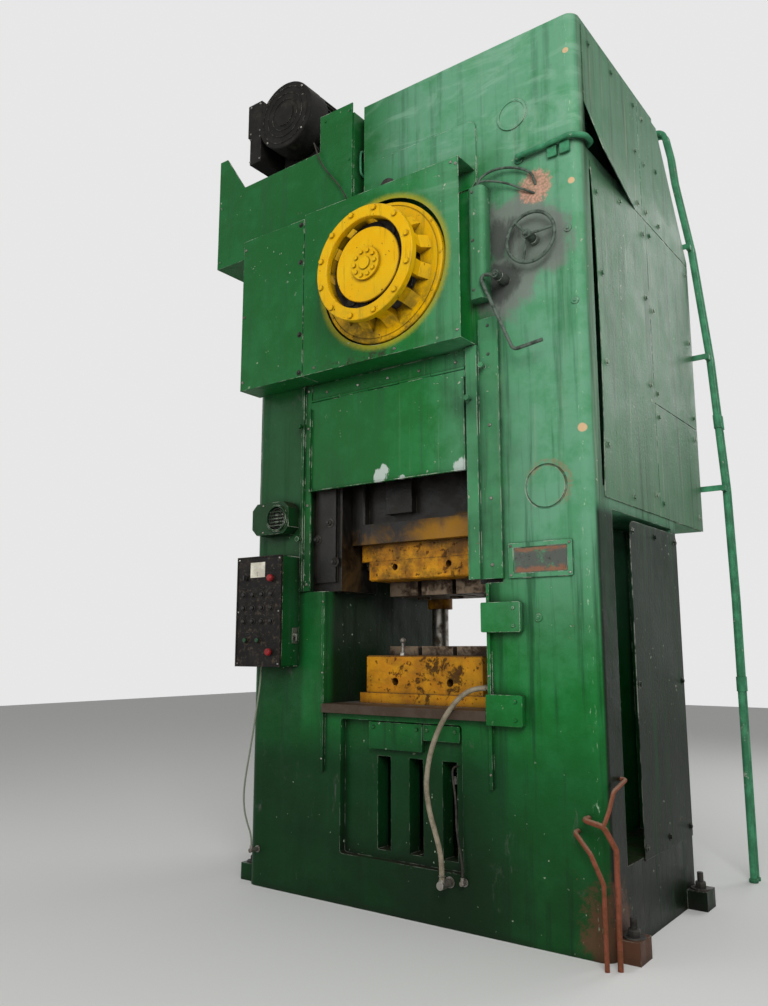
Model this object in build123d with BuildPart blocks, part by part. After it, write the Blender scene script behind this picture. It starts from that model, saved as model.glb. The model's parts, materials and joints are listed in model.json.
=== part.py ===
from build123d import *
import math
import os

# Hot forging press, closed box frame, about 16 MN.
# Millimetres, +Z up. The origin is on the floor, under the centre of the ram.
# The front of the press faces -Y, and +X is to the operator's right.

# Overall size and the frame casting
FRAME_W = 2560.0
FRAME_D = 1400.0
FRAME_H = 5340.0
FRONT = -FRAME_D / 2
REAR = FRAME_D / 2
SIDE = FRAME_W / 2
CORNER_R = 70.0
BED_TOP = 1150.0
WINDOW_HALF = 610.0
WINDOW_TOP = 3370.0
GIB_POCKET_LEFT = 780.0
GIB_POCKET_RIGHT = 712.0
GIB_POCKET_D = 450.0
GIB_BOTTOM = 1930.0
CRANK_BOX_TOP = 4500.0
CRANK_BOX_HALF_D = 330.0
SHOULDER_X = -640.0
SHOULDER_Z = FRAME_H - 260.0
SIDE_POCKET_DEPTH = 300.0

# Clearances that the pieces share
SEAT = 0.3
RUNNING = 0.05
SLIDING = 0.3

# Crank drive
SHAFT_Z = 3930.0
THROW = 155.0
JOURNAL_R = 190.0
ECCENTRIC_R = 335.0
ECCENTRIC_HALF_D = 190.0
BUSH_WALL = 30.0
CONROD_LENGTH = 1100.0
CONROD_HALF_D = 180.0
BIG_END_WALL = 60.0
SMALL_END_R = 150.0
WRIST_PIN_R = 75.0
WRIST_PIN_HALF = 195.0

# Ram and dies
RAM_HALF_W = 530.0
RAM_HALF_D = 540.0
RAM_BOTTOM = 2240.0
RAM_TOP = WINDOW_TOP - 40.0
RAM_FOOT_H = 135.0
RAM_RECESS = 60.0
CAVITY_HALF_W = 330.0
CAVITY_HALF_D = 215.0
CAVITY_BOTTOM = 2770.0
BOLSTER_T = 55.0
SHOE_T = 65.0
LOWER_DIE_TOP = 1510.0
DIE_HALF_D = 480.0
LOWER_DIE_HALF_W = 440.0
UPPER_DIE_HALF_W = 420.0
BACKING_HALF_W = 495.0
BACKING_T = 110.0
UPPER_DIE_BOTTOM = 2000.0
INSERT_LOWER_T = 60.0
INSERT_UPPER_T = 95.0
PILLAR_R = 60.0
PILLAR_X = 360.0
PILLAR_Y = 300.0
PILLAR_TOP = 1915.0
SLEEVE_WALL = 30.0
SLEEVE_DROP = 160.0
EJECTOR_R = 25.0
DIE_Y = -50.0
INSERT_HALF_D = 250.0

# Gear train behind the frame
MODULE = 16.0
GEAR_TEETH = 90
PINION_TEETH = 20
GEAR_FRONT = 930.0
GEAR_T = 150.0
FLYWHEEL_FRONT = 720.0
FLYWHEEL_T = 180.0
FLYWHEEL_R = 580.0
COUNTERSHAFT_R = 80.0
COUNTERSHAFT_ANGLE = 120.0
CENTRE_DISTANCE = MODULE * (GEAR_TEETH + PINION_TEETH) / 2
CS_X = CENTRE_DISTANCE * math.cos(math.radians(COUNTERSHAFT_ANGLE))
CS_Z = SHAFT_Z + CENTRE_DISTANCE * math.sin(math.radians(COUNTERSHAFT_ANGLE))

# Motor on the left shoulder
MOTOR_X = 220.0 - SIDE
MOTOR_Z = SHOULDER_Z + 490.0
MOTOR_R = 265.0
MOTOR_FRONT = -725.0
MOTOR_BODY_FRONT = -560.0
MOTOR_BODY_REAR = 640.0
MOTOR_SHAFT_R = 45.0
PULLEY_R = 150.0
BELTS = 4
BELT_PITCH = 40.0
BELT_W = 24.0
BELT_T = 16.0

# Sheet metal
SHEET = 5.0
PLATE = 10.0
GUARD_FRONT = -910.0
GUARD_LEFT = 18.0 - SIDE
GUARD_RIGHT = 582.0
GUARD_SEAM = -670.0
GUARD_BOTTOM = 3370.0
GUARD_TOP = 4540.0
GUARD_LEFT_TOP = 4512.0
COVER_BOTTOM = 2390.0
LEFT_SEAM_Z = SHOULDER_Z - 650.0
COVER_SEAM_Y = 365.0
UPPER_SEAM_Y = 315.0
HOUSING_REAR = 1270.0
HOUSING_TOP = CS_Z + FLYWHEEL_R + 28.0
COVER_SEAM_Z = HOUSING_TOP - 870.1
SLOPE_Y = REAR + 12.0
SLOPE_Z = COVER_SEAM_Z + 26.0
BAY_RIGHT = CS_X + FLYWHEEL_R + 50.0
SEAM_GAP = 6.0

# Brake on the front end of the shaft
BRAKE_RING_R = 465.0
BRAKE_RING_FRONT = -920.0
BRAKE_RING_T = 40.0
BRAKE_FLANGE_R = 375.0
BRAKE_FLANGE_FRONT = -1110.0
BRAKE_FLANGE_T = 45.0
BRAKE_FLANGE_BORE = 296.0
BRAKE_CORE_R = 330.0
BRAKE_DISC_R = 245.0
BRAKE_DISC_FRONT = BRAKE_FLANGE_FRONT + 42.0
BRAKE_SHAFT_R = 100.0
BRAKE_RIBS = 12
BRAKE_RIB_W = 92.0
BRAKE_BOLT_PCR = 347.0

# Guard flap
FLAP_LEFT = -745.0
FLAP_RIGHT = 494.0
FLAP_HINGE_Z = 3250.0
FLAP_BOTTOM = 2610.0
FLAP_BARREL_R = 9.0
FLAP_PIN_R = 4.0
HINGE_Y = FRONT - 17.0

# Controls
PANEL_LEFT = -1265.0
PANEL_RIGHT = -850.0
PANEL_BOTTOM = 1435.0
PANEL_TOP = 2175.0
PANEL_FRONT = FRONT - 180.0
PANEL_T = 12.0
BUTTON_R = 15.0
BUTTON_TRAVEL = 6.0
STOP_R = 24.0

os.makedirs("parts", exist_ok=True)


def front_plane(y):
    """Plane across the press at one Y: local x is X, local y is Z, facing -Y."""
    return Plane.XZ.offset(-y)


def side_plane(x):
    """Plane along the press at one X: local x is Y, local y is Z, facing +X."""
    return Plane.YZ.offset(x)


def block(x, y, z, mode=Mode.ADD):
    """Straight block of the part being built, between two values on each axis."""
    with Locations(((x[0] + x[1]) / 2, (y[0] + y[1]) / 2, (z[0] + z[1]) / 2)):
        Box(x[1] - x[0], y[1] - y[0], z[1] - z[0], mode=mode)


def barrel(y, x, z, radius, mode=Mode.ADD, bore=0.0):
    """Round bar or tube along Y, of the part being built."""
    with BuildSketch(front_plane(y[1])) as section:
        with Locations((x, z)):
            Circle(radius)
            if bore > 0:
                Circle(bore, mode=Mode.SUBTRACT)
    extrude(section.sketch, amount=y[1] - y[0], mode=mode)


def post(x, y, z, radius, mode=Mode.ADD, bore=0.0):
    """Round bar or tube along Z, of the part being built."""
    with BuildSketch(Plane.XY.offset(z[0])) as section:
        with Locations((x, y)):
            Circle(radius)
            if bore > 0:
                Circle(bore, mode=Mode.SUBTRACT)
    extrude(section.sketch, amount=z[1] - z[0], mode=mode)


def plate(x, z, y_front, thickness, corner=0.0, mode=Mode.ADD):
    """Plate that faces -Y with rounded corners, of the part being built."""
    with BuildSketch(front_plane(y_front + thickness)) as section:
        with Locations(((x[0] + x[1]) / 2, (z[0] + z[1]) / 2)):
            if corner > 0:
                RectangleRounded(x[1] - x[0], z[1] - z[0], corner)
            else:
                Rectangle(x[1] - x[0], z[1] - z[0])
    extrude(section.sketch, amount=thickness, mode=mode)


def hexagons(centres, across_flats, y, mode=Mode.ADD):
    """Hexagon heads along Y, one at each (x, z)."""
    with BuildSketch(front_plane(y[1])) as section:
        with Locations(*centres):
            RegularPolygon(across_flats / 2, 6, major_radius=False)
    extrude(section.sketch, amount=y[1] - y[0], mode=mode)


def ring_of(count, radius, x, z, start=0.0):
    """Centres spaced evenly on a circle about (x, z)."""
    points = []
    for number in range(count):
        angle = math.radians(start + 360.0 * number / count)
        points.append((x + radius * math.cos(angle), z + radius * math.sin(angle)))
    return points


def corner_radii(points):
    """Radii of a hose's arcs, as large as the runs on each side allow."""
    radii = []
    for before, here, after in zip(points, points[1:], points[2:]):
        first = Vector(*here) - Vector(*before)
        second = Vector(*after) - Vector(*here)
        half_turn = math.radians(first.get_angle(second)) / 2
        radii.append(0.45 * min(first.length, second.length) / math.tan(half_turn))
    return radii


def tube(points, radius, radii=None):
    """Round tube of the part being built along straight runs and tangent arcs."""
    turns = corner_radii(points) if radii is None else radii
    with BuildLine() as route:
        FilletPolyline(*points, radius=turns)
    with BuildSketch(Plane(origin=route.line @ 0, z_dir=route.line % 0)) as section:
        Circle(radius)
    sweep(section.sketch, path=route.line)


# Frame: one closed box casting with bed, two uprights and head.
# Its window goes right through, the crank box is above it, and the sides are hollowed.
SLOT_W = 100.0
SLOT_PITCH = 238.0
SLOT_MID_X = 67.0
SLOT_BOTTOM = 350.0
SLOT_TOP = 900.0
PIT_BOTTOM = 300.0
PIT_HALF_W = 400.0
PIT_FRONT = FRONT + 160.0
PIT_REAR = 300.0
BED_RECESS_X = (-480.0, 420.0)
BED_RECESS_D = 50.0
APRON_TOP = 1115.0
FOOT_L = 160.0
FOOT_OUT = 120.0
FOOT_H = 110.0
ANCHOR_R = 24.0
ANCHOR_Y = 560.0
HEADER_PAD_X = (-300.0, 593.0)
HEADER_PAD_Z = (GUARD_TOP - 120.0, GUARD_TOP + 345.0)
HEADER_PAD_T = 10.0
HEADER_PAD_R = 60.0
NAME_PAD_X = (756.0, 1148.0)
NAME_PAD_Z = (1948.0, 2146.0)
NAME_PAD_T = 12.0
RING_BOSS = (850.0, FRAME_H - 525.0)
RING_BOSS_R = 100.0
PORT = (1000.0, 2457.0)
PORT_R = 130.0
RECESS_X = (-400.0, -310.0)
RECESS_D = 120.0
RAIL_W = 20.0
RAIL_T = 22.0
HANDWHEEL = (978.0, 3945.0)
WHEEL_BOSS_OUT = 35.0
LEVER_PIVOT = (775.0, 3745.0)
BOSS_OUT = 90.0
BOSS_R = 32.0
SPINDLE_R = 14.0
BEARING_BORE_R = JOURNAL_R + RUNNING + BUSH_WALL + SEAT
CS_BEARING_R = COUNTERSHAFT_R + RUNNING + BUSH_WALL + SEAT
CS_BEARING_FRONT = 400.0
EJECTOR_BORE_R = 45.0

with BuildPart() as frame:
    with BuildSketch() as footprint:
        Rectangle(FRAME_W, FRAME_D)
        fillet(footprint.vertices(), CORNER_R)
    extrude(amount=FRAME_H)
    block((-SIDE - 1, SHOULDER_X), (FRONT - 1, REAR + 1), (SHOULDER_Z, FRAME_H + 1), Mode.SUBTRACT)
    # Working window and the pockets that hold the ram's gibs
    block((-WINDOW_HALF, WINDOW_HALF), (FRONT - 1, REAR + 1), (BED_TOP, WINDOW_TOP), Mode.SUBTRACT)
    for y in ((FRONT - 1, FRONT + GIB_POCKET_D), (REAR - GIB_POCKET_D, REAR + 1)):
        block((-GIB_POCKET_LEFT, GIB_POCKET_RIGHT), y, (GIB_BOTTOM, WINDOW_TOP), Mode.SUBTRACT)
    # Crank box between the two bearing walls, and the bores through them
    block((-WINDOW_HALF, WINDOW_HALF), (-CRANK_BOX_HALF_D, CRANK_BOX_HALF_D),
          (WINDOW_TOP - 1, CRANK_BOX_TOP), Mode.SUBTRACT)
    barrel((FRONT - 1, REAR + 1), 0, SHAFT_Z, BEARING_BORE_R, Mode.SUBTRACT)
    barrel((CS_BEARING_FRONT, REAR + 1), CS_X, CS_Z, CS_BEARING_R, Mode.SUBTRACT)
    # Hollows in the two sides, behind the sheet covers
    for side in (-1, 1):
        near, far = SIDE - SIDE_POCKET_DEPTH, SIDE + 1
        across = (near, far) if side > 0 else (-far, -near)
        head = (FRAME_H - 850, FRAME_H - 100) if side > 0 else (SHOULDER_Z - 590, SHOULDER_Z - 90)
        middle_top = (COVER_SEAM_Z if side > 0 else LEFT_SEAM_Z) - 60
        block(across, (-450.0, 560.0), (420.0, 2330.0), Mode.SUBTRACT)
        block(across, (-570.0, 560.0), (COVER_BOTTOM + 60, middle_top), Mode.SUBTRACT)
        block(across, (-600.0, 560.0), head, Mode.SUBTRACT)
    # Bed: recess in the front with three slots into the ejector pit
    plate(BED_RECESS_X, (PIT_BOTTOM, APRON_TOP), FRONT - 1, BED_RECESS_D + 1, 20, Mode.SUBTRACT)
    block((SLOT_MID_X - PIT_HALF_W, SLOT_MID_X + PIT_HALF_W), (PIT_FRONT, PIT_REAR),
          (PIT_BOTTOM, SLOT_TOP), Mode.SUBTRACT)
    for number in (-1, 0, 1):
        middle = SLOT_MID_X + number * SLOT_PITCH
        block((middle - SLOT_W / 2, middle + SLOT_W / 2), (FRONT - 1, PIT_FRONT + 1),
              (SLOT_BOTTOM, SLOT_TOP), Mode.SUBTRACT)
    post(0, DIE_Y, (SLOT_TOP - 1, BED_TOP + 1), EJECTOR_BORE_R, Mode.SUBTRACT)
    # Anchor feet at the four corners
    for side in (-1, 1):
        for y in (-ANCHOR_Y, ANCHOR_Y):
            foot = (SIDE - 1, SIDE + FOOT_OUT) if side > 0 else (-SIDE - FOOT_OUT, 1 - SIDE)
            block(foot, (y - FOOT_L / 2, y + FOOT_L / 2), (0, FOOT_H))
            post(side * (SIDE + FOOT_OUT / 2), y, (-1, FOOT_H + 1), ANCHOR_R, Mode.SUBTRACT)
    # Cast pads on the front face, the upright recess beside them and the window's rails
    plate(HEADER_PAD_X, HEADER_PAD_Z, FRONT - HEADER_PAD_T, HEADER_PAD_T + 1, HEADER_PAD_R)
    plate(RECESS_X, (GUARD_TOP, FRAME_H + 1), FRONT - HEADER_PAD_T - 1,
          RECESS_D + HEADER_PAD_T + 1, mode=Mode.SUBTRACT)
    barrel((FRONT - 9, FRONT + 1), *RING_BOSS, RING_BOSS_R)
    barrel((FRONT - 10, FRONT - 5), *RING_BOSS, RING_BOSS_R - 14, Mode.SUBTRACT)
    plate(NAME_PAD_X, NAME_PAD_Z, FRONT - NAME_PAD_T, NAME_PAD_T + 1, 8)
    plate((NAME_PAD_X[0] + 30, NAME_PAD_X[1] - 30), (NAME_PAD_Z[0] + 26, NAME_PAD_Z[1] - 26),
          FRONT - NAME_PAD_T - 1, 6, 6, Mode.SUBTRACT)
    barrel((FRONT - 1, FRONT + 6), *PORT, PORT_R, Mode.SUBTRACT)
    barrel((FRONT - 4, FRONT + 8), *PORT, PORT_R - 12)
    for side in (-1, 1):
        rail = sorted((side * WINDOW_HALF, side * (WINDOW_HALF + RAIL_W)))
        block(rail, (FRONT - RAIL_T, FRONT + 1), (780.0, GIB_BOTTOM - 4))
    # Bosses of the handwheel and of the lever
    for boss, out in ((HANDWHEEL, WHEEL_BOSS_OUT), (LEVER_PIVOT, BOSS_OUT)):
        barrel((FRONT - out, FRONT + 1), *boss, BOSS_R)
        barrel((FRONT - out - 1, FRONT + 60), *boss, SPINDLE_R + RUNNING, Mode.SUBTRACT)
frame.part.label = "frame"
export_step(frame.part, "parts/frame.step")

# Two apron plates in the bed recess, the right one shallower
APRONS = (((-260.0, 137.0), 945.0), ((143.0, 400.0), 1015.0))
with BuildPart() as apron_plates:
    for (left, right), bottom in APRONS:
        plate((left, right), (bottom, APRON_TOP - 8), FRONT + BED_RECESS_D - SEAT - 40, 40, 6)
apron_plates.part.label = "apron_plates"
export_step(apron_plates.part, "parts/apron_plates.step")

# Bolster plate on the bed, its front lip a little proud
BOLSTER_TOP = BED_TOP + SEAT + BOLSTER_T
with BuildPart() as bolster_plate:
    plate((-WINDOW_HALF + 4, WINDOW_HALF - 4), (BED_TOP + SEAT, BOLSTER_TOP), FRONT - 45, FRAME_D, 6)
    post(0, DIE_Y, (BED_TOP, BOLSTER_TOP + 1), EJECTOR_BORE_R, Mode.SUBTRACT)
bolster_plate.part.label = "bolster_plate"
export_step(bolster_plate.part, "parts/bolster_plate.step")

# Lower die: stepped holder with lifting holes and a rear pair of guide pillars
SHOE_TOP = BOLSTER_TOP + SEAT + SHOE_T
LIFT_HOLE_R = 24.0
LIFT_HOLE_X = 208.0
LIFT_HOLE_D = 70.0
LOWER_LIFT_Z = 1345.0
SHOE_HALF_W = 480.0
with BuildPart() as lower_die_holder:
    block((-SHOE_HALF_W, SHOE_HALF_W), (-DIE_HALF_D - 20, DIE_HALF_D), (BOLSTER_TOP + SEAT, SHOE_TOP))
    with BuildSketch(Plane.XY.offset(SHOE_TOP)):
        Rectangle(2 * LOWER_DIE_HALF_W, 2 * DIE_HALF_D)
    extrude(amount=LOWER_DIE_TOP - SHOE_TOP)
    chamfer(lower_die_holder.faces().sort_by(Axis.Z)[-1].edges(), 8)
    for side in (-1, 1):
        barrel((-DIE_HALF_D - 1, -DIE_HALF_D + LIFT_HOLE_D), side * LIFT_HOLE_X, LOWER_LIFT_Z, LIFT_HOLE_R,
               Mode.SUBTRACT)
        post(side * PILLAR_X, PILLAR_Y, (SHOE_TOP, LOWER_DIE_TOP + 1), PILLAR_R + SEAT, Mode.SUBTRACT)
    post(0, DIE_Y, (BED_TOP, LOWER_DIE_TOP + 1), EJECTOR_R + SLIDING, Mode.SUBTRACT)
lower_die_holder.part.label = "lower_die_holder"
export_step(lower_die_holder.part, "parts/lower_die_holder.step")

# Three forging stations side by side: impressions in blocks held by the holder
STATIONS = (-265.0, 0.0, 265.0)
STATION_HALF = (115.0, 120.0, 115.0)
IMPRESSION_R = 62.0
IMPRESSION_DEPTH = 22.0
PUNCH_R = IMPRESSION_R - 16.0
PUNCH_DROP = 14.0
with BuildPart() as lower_die_inserts:
    base = LOWER_DIE_TOP + SEAT
    for x, half in zip(STATIONS, STATION_HALF):
        block((x - half, x + half), (DIE_Y - INSERT_HALF_D, DIE_Y + INSERT_HALF_D),
              (base, base + INSERT_LOWER_T))
        with BuildSketch(Plane.XY.offset(base + INSERT_LOWER_T)) as impression:
            with Locations((x, DIE_Y)):
                Circle(IMPRESSION_R)
        extrude(impression.sketch, amount=-IMPRESSION_DEPTH, taper=12, mode=Mode.SUBTRACT)
    post(0, DIE_Y, (base - 1, base + INSERT_LOWER_T + 1), EJECTOR_R + SLIDING, Mode.SUBTRACT)
lower_die_inserts.part.label = "lower_die_inserts"
export_step(lower_die_inserts.part, "parts/lower_die_inserts.step")

with BuildPart() as guide_pillars:
    for side in (-1, 1):
        post(side * PILLAR_X, PILLAR_Y, (SHOE_TOP + SEAT, PILLAR_TOP), PILLAR_R)
    chamfer(guide_pillars.faces().group_by(Axis.Z)[-1].edges(), 6)
guide_pillars.part.label = "guide_pillars"
export_step(guide_pillars.part, "parts/guide_pillars.step")

# Ejector of the lower die: pin with its thrust plate in the pit
THRUST_R = 110.0
THRUST_TOP = SLOT_TOP - 160.0
with BuildPart() as lower_ejector:
    post(0, DIE_Y, (THRUST_TOP - 50, THRUST_TOP), THRUST_R)
    post(0, DIE_Y, (THRUST_TOP - 1, LOWER_DIE_TOP + 5), EJECTOR_R)
lower_ejector.part.label = "lower_ejector"
export_step(lower_ejector.part, "parts/lower_ejector.step")

# Gibs: four corner guides of the ram, each with a liner strip and a front keep
GIB_FRONT = FRONT + 60.0
GIB_TOP = WINDOW_TOP - 25.0
KEEP_T = 24.0
KEEP_MARGIN = 36.0
with BuildPart() as ram_gibs:
    for end in (-1, 1):
        outer, inner = -end * GIB_FRONT, end * (REAR - GIB_POCKET_D + SEAT)
        for side, pocket in ((-1, GIB_POCKET_LEFT), (1, GIB_POCKET_RIGHT)):
            across = sorted((side * (RAM_HALF_W + SLIDING), side * (pocket - SEAT)))
            block(across, sorted((inner, outer)), (GIB_BOTTOM + SEAT, GIB_TOP))
            keep = (across[0] + KEEP_MARGIN, across[1] - KEEP_MARGIN)
            block(keep, sorted((outer - end, outer + end * KEEP_T)), (GIB_BOTTOM + 60, GIB_TOP - 40))
ram_gibs.part.label = "ram_gibs"
export_step(ram_gibs.part, "parts/ram_gibs.step")

# Ram: one casting, open at the top for the connecting rod, with a foot and a front boss
RAM_BOSS_X = (-240.0, -35.0)
RAM_BOSS_Z = (2430.0, 2650.0)
EJECTOR_HEAD_R = 52.0
with BuildPart() as ram:
    block((-RAM_HALF_W, RAM_HALF_W), (-RAM_HALF_D, RAM_HALF_D), (RAM_BOTTOM, RAM_TOP))
    for end in (-1, 1):
        y = sorted((end * (RAM_HALF_D + 1), end * (RAM_HALF_D - RAM_RECESS)))
        block((-RAM_HALF_W + 110, RAM_HALF_W - 110), y, (RAM_BOTTOM + RAM_FOOT_H, RAM_TOP - 120),
              Mode.SUBTRACT)
    block(RAM_BOSS_X, (-RAM_HALF_D + 5, -RAM_HALF_D + RAM_RECESS + 1), RAM_BOSS_Z)
    block((-CAVITY_HALF_W, CAVITY_HALF_W), (-CAVITY_HALF_D, CAVITY_HALF_D),
          (CAVITY_BOTTOM, RAM_TOP + 1), Mode.SUBTRACT)
    post(0, DIE_Y, (RAM_BOTTOM - 1, CAVITY_BOTTOM - 60), EJECTOR_R + SLIDING, Mode.SUBTRACT)
    post(0, DIE_Y, (RAM_BOTTOM + 60, CAVITY_BOTTOM - 60), EJECTOR_HEAD_R + SLIDING, Mode.SUBTRACT)
    chamfer(ram.edges().filter_by(Axis.Z).group_by(Axis.Y)[0], 10)
ram.part.label = "ram"
export_step(ram.part, "parts/ram.step")

# Backing plate, upper die holder with its guide sleeves, and the upper inserts
BACKING_TOP = RAM_BOTTOM - SEAT
HOLDER_TOP = BACKING_TOP - BACKING_T - SEAT
SLEEVE_R = PILLAR_R + RUNNING + SLEEVE_WALL
UPPER_LIFT_Z = 2085.0
with BuildPart() as die_backing_plate:
    block((-BACKING_HALF_W, BACKING_HALF_W), (-DIE_HALF_D, DIE_HALF_D),
          (BACKING_TOP - BACKING_T, BACKING_TOP))
    for side in (-1, 1):
        post(side * PILLAR_X, PILLAR_Y, (HOLDER_TOP - 1, RAM_BOTTOM), PILLAR_R + 8, Mode.SUBTRACT)
    post(0, DIE_Y, (HOLDER_TOP - 1, RAM_BOTTOM), EJECTOR_R + SLIDING, Mode.SUBTRACT)
    chamfer(die_backing_plate.edges().filter_by(Axis.Z).group_by(Axis.Y)[0], 14)
die_backing_plate.part.label = "die_backing_plate"
export_step(die_backing_plate.part, "parts/die_backing_plate.step")

with BuildPart() as upper_die_holder:
    block((-UPPER_DIE_HALF_W, UPPER_DIE_HALF_W), (-DIE_HALF_D, DIE_HALF_D),
          (UPPER_DIE_BOTTOM, HOLDER_TOP))
    chamfer(upper_die_holder.faces().sort_by(Axis.Z)[0].edges(), 8)
    for side in (-1, 1):
        post(side * PILLAR_X, PILLAR_Y, (UPPER_DIE_BOTTOM - SLEEVE_DROP, HOLDER_TOP - 20), SLEEVE_R)
        post(side * PILLAR_X, PILLAR_Y, (UPPER_DIE_BOTTOM - SLEEVE_DROP - 1, HOLDER_TOP + 1),
             PILLAR_R + RUNNING, Mode.SUBTRACT)
        barrel((-DIE_HALF_D - 1, -DIE_HALF_D + LIFT_HOLE_D), side * LIFT_HOLE_X, UPPER_LIFT_Z, LIFT_HOLE_R - 3,
               Mode.SUBTRACT)
    post(0, DIE_Y, (UPPER_DIE_BOTTOM - 1, HOLDER_TOP + 1), EJECTOR_R + SLIDING, Mode.SUBTRACT)
upper_die_holder.part.label = "upper_die_holder"
export_step(upper_die_holder.part, "parts/upper_die_holder.step")

INSERT_UPPER_BOTTOM = UPPER_DIE_BOTTOM - SEAT - INSERT_UPPER_T
with BuildPart() as upper_die_inserts:
    for x, half in zip(STATIONS, STATION_HALF):
        block((x - half, x + half), (DIE_Y - INSERT_HALF_D, DIE_Y + INSERT_HALF_D),
              (INSERT_UPPER_BOTTOM, UPPER_DIE_BOTTOM - SEAT))
        post(x, DIE_Y, (INSERT_UPPER_BOTTOM - PUNCH_DROP, INSERT_UPPER_BOTTOM + 1), PUNCH_R)
    post(0, DIE_Y, (INSERT_UPPER_BOTTOM - PUNCH_DROP - 1, UPPER_DIE_BOTTOM), EJECTOR_R + SLIDING,
         Mode.SUBTRACT)
upper_die_inserts.part.label = "upper_die_inserts"
export_step(upper_die_inserts.part, "parts/upper_die_inserts.step")

with BuildPart() as upper_ejector:
    post(0, DIE_Y, (INSERT_UPPER_BOTTOM + 5, CAVITY_BOTTOM - 140), EJECTOR_R)
    post(0, DIE_Y, (CAVITY_BOTTOM - 141, CAVITY_BOTTOM - 110), EJECTOR_HEAD_R)
upper_ejector.part.label = "upper_ejector"
export_step(upper_ejector.part, "parts/upper_ejector.step")

# Eccentric shaft: one forging from the brake end in front to the gear seat behind
DISC_SEAT = 18.0
SHAFT_FRONT = BRAKE_DISC_FRONT + DISC_SEAT
GEAR_SEAT_R = 150.0
CLUTCH_R = 300.0
GEAR_REAR = GEAR_FRONT + GEAR_T
CLUTCH_T = 60.0
with BuildPart() as eccentric_shaft:
    barrel((SHAFT_FRONT, FRONT), 0, SHAFT_Z, BRAKE_SHAFT_R)
    barrel((FRONT - 6, -ECCENTRIC_HALF_D), 0, SHAFT_Z, JOURNAL_R)
    barrel((-ECCENTRIC_HALF_D, ECCENTRIC_HALF_D), 0, SHAFT_Z + THROW, ECCENTRIC_R)
    barrel((ECCENTRIC_HALF_D, REAR + 6), 0, SHAFT_Z, JOURNAL_R)
    barrel((REAR, GEAR_REAR + 8), 0, SHAFT_Z, GEAR_SEAT_R)
    barrel((GEAR_REAR + 8, GEAR_REAR + 8 + CLUTCH_T), 0, SHAFT_Z, CLUTCH_R)
    chamfer(eccentric_shaft.faces().sort_by(Axis.Y)[-1].edges(), 10)
eccentric_shaft.part.label = "eccentric_shaft"
export_step(eccentric_shaft.part, "parts/eccentric_shaft.step")

# Bronze bushes of the main bearings and of the countershaft
with BuildPart() as shaft_bushes:
    for y in ((FRONT + 1, -CRANK_BOX_HALF_D - 1), (CRANK_BOX_HALF_D + 1, REAR - 1)):
        barrel(y, 0, SHAFT_Z, BEARING_BORE_R - SEAT, bore=JOURNAL_R + RUNNING)
    barrel((CS_BEARING_FRONT + SEAT, REAR - 1), CS_X, CS_Z, CS_BEARING_R - SEAT,
           bore=COUNTERSHAFT_R + RUNNING)
shaft_bushes.part.label = "shaft_bushes"
export_step(shaft_bushes.part, "parts/shaft_bushes.step")

# Connecting rod, its big end bush and the wrist pin
BIG_END_Z = SHAFT_Z + THROW
SMALL_END_Z = BIG_END_Z - CONROD_LENGTH
BIG_END_BORE_R = ECCENTRIC_R + RUNNING + BUSH_WALL / 2 + SEAT
with BuildPart() as conrod:
    with BuildSketch(front_plane(CONROD_HALF_D)):
        with Locations((0, BIG_END_Z)):
            Circle(BIG_END_BORE_R + BIG_END_WALL)
        with Locations((0, SMALL_END_Z)):
            Circle(SMALL_END_R)
        with BuildLine():
            Polyline((-120, SMALL_END_Z), (120, SMALL_END_Z), (200, BIG_END_Z - 300),
                     (-200, BIG_END_Z - 300), close=True)
        make_face()
        with Locations((0, BIG_END_Z)):
            Circle(BIG_END_BORE_R, mode=Mode.SUBTRACT)
        with Locations((0, SMALL_END_Z)):
            Circle(WRIST_PIN_R + RUNNING, mode=Mode.SUBTRACT)
    extrude(amount=2 * CONROD_HALF_D)
conrod.part.label = "conrod"
export_step(conrod.part, "parts/conrod.step")

with BuildPart() as conrod_bush:
    barrel((-CONROD_HALF_D + 2, CONROD_HALF_D - 2), 0, BIG_END_Z, BIG_END_BORE_R - SEAT,
           bore=ECCENTRIC_R + RUNNING)
conrod_bush.part.label = "conrod_bush"
export_step(conrod_bush.part, "parts/conrod_bush.step")

with BuildPart() as wrist_pin:
    barrel((-WRIST_PIN_HALF, WRIST_PIN_HALF), 0, SMALL_END_Z, WRIST_PIN_R)
    chamfer(wrist_pin.faces().filter_by(Axis.Y).edges(), 5)
wrist_pin.part.label = "wrist_pin"
export_step(wrist_pin.part, "parts/wrist_pin.step")

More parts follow.
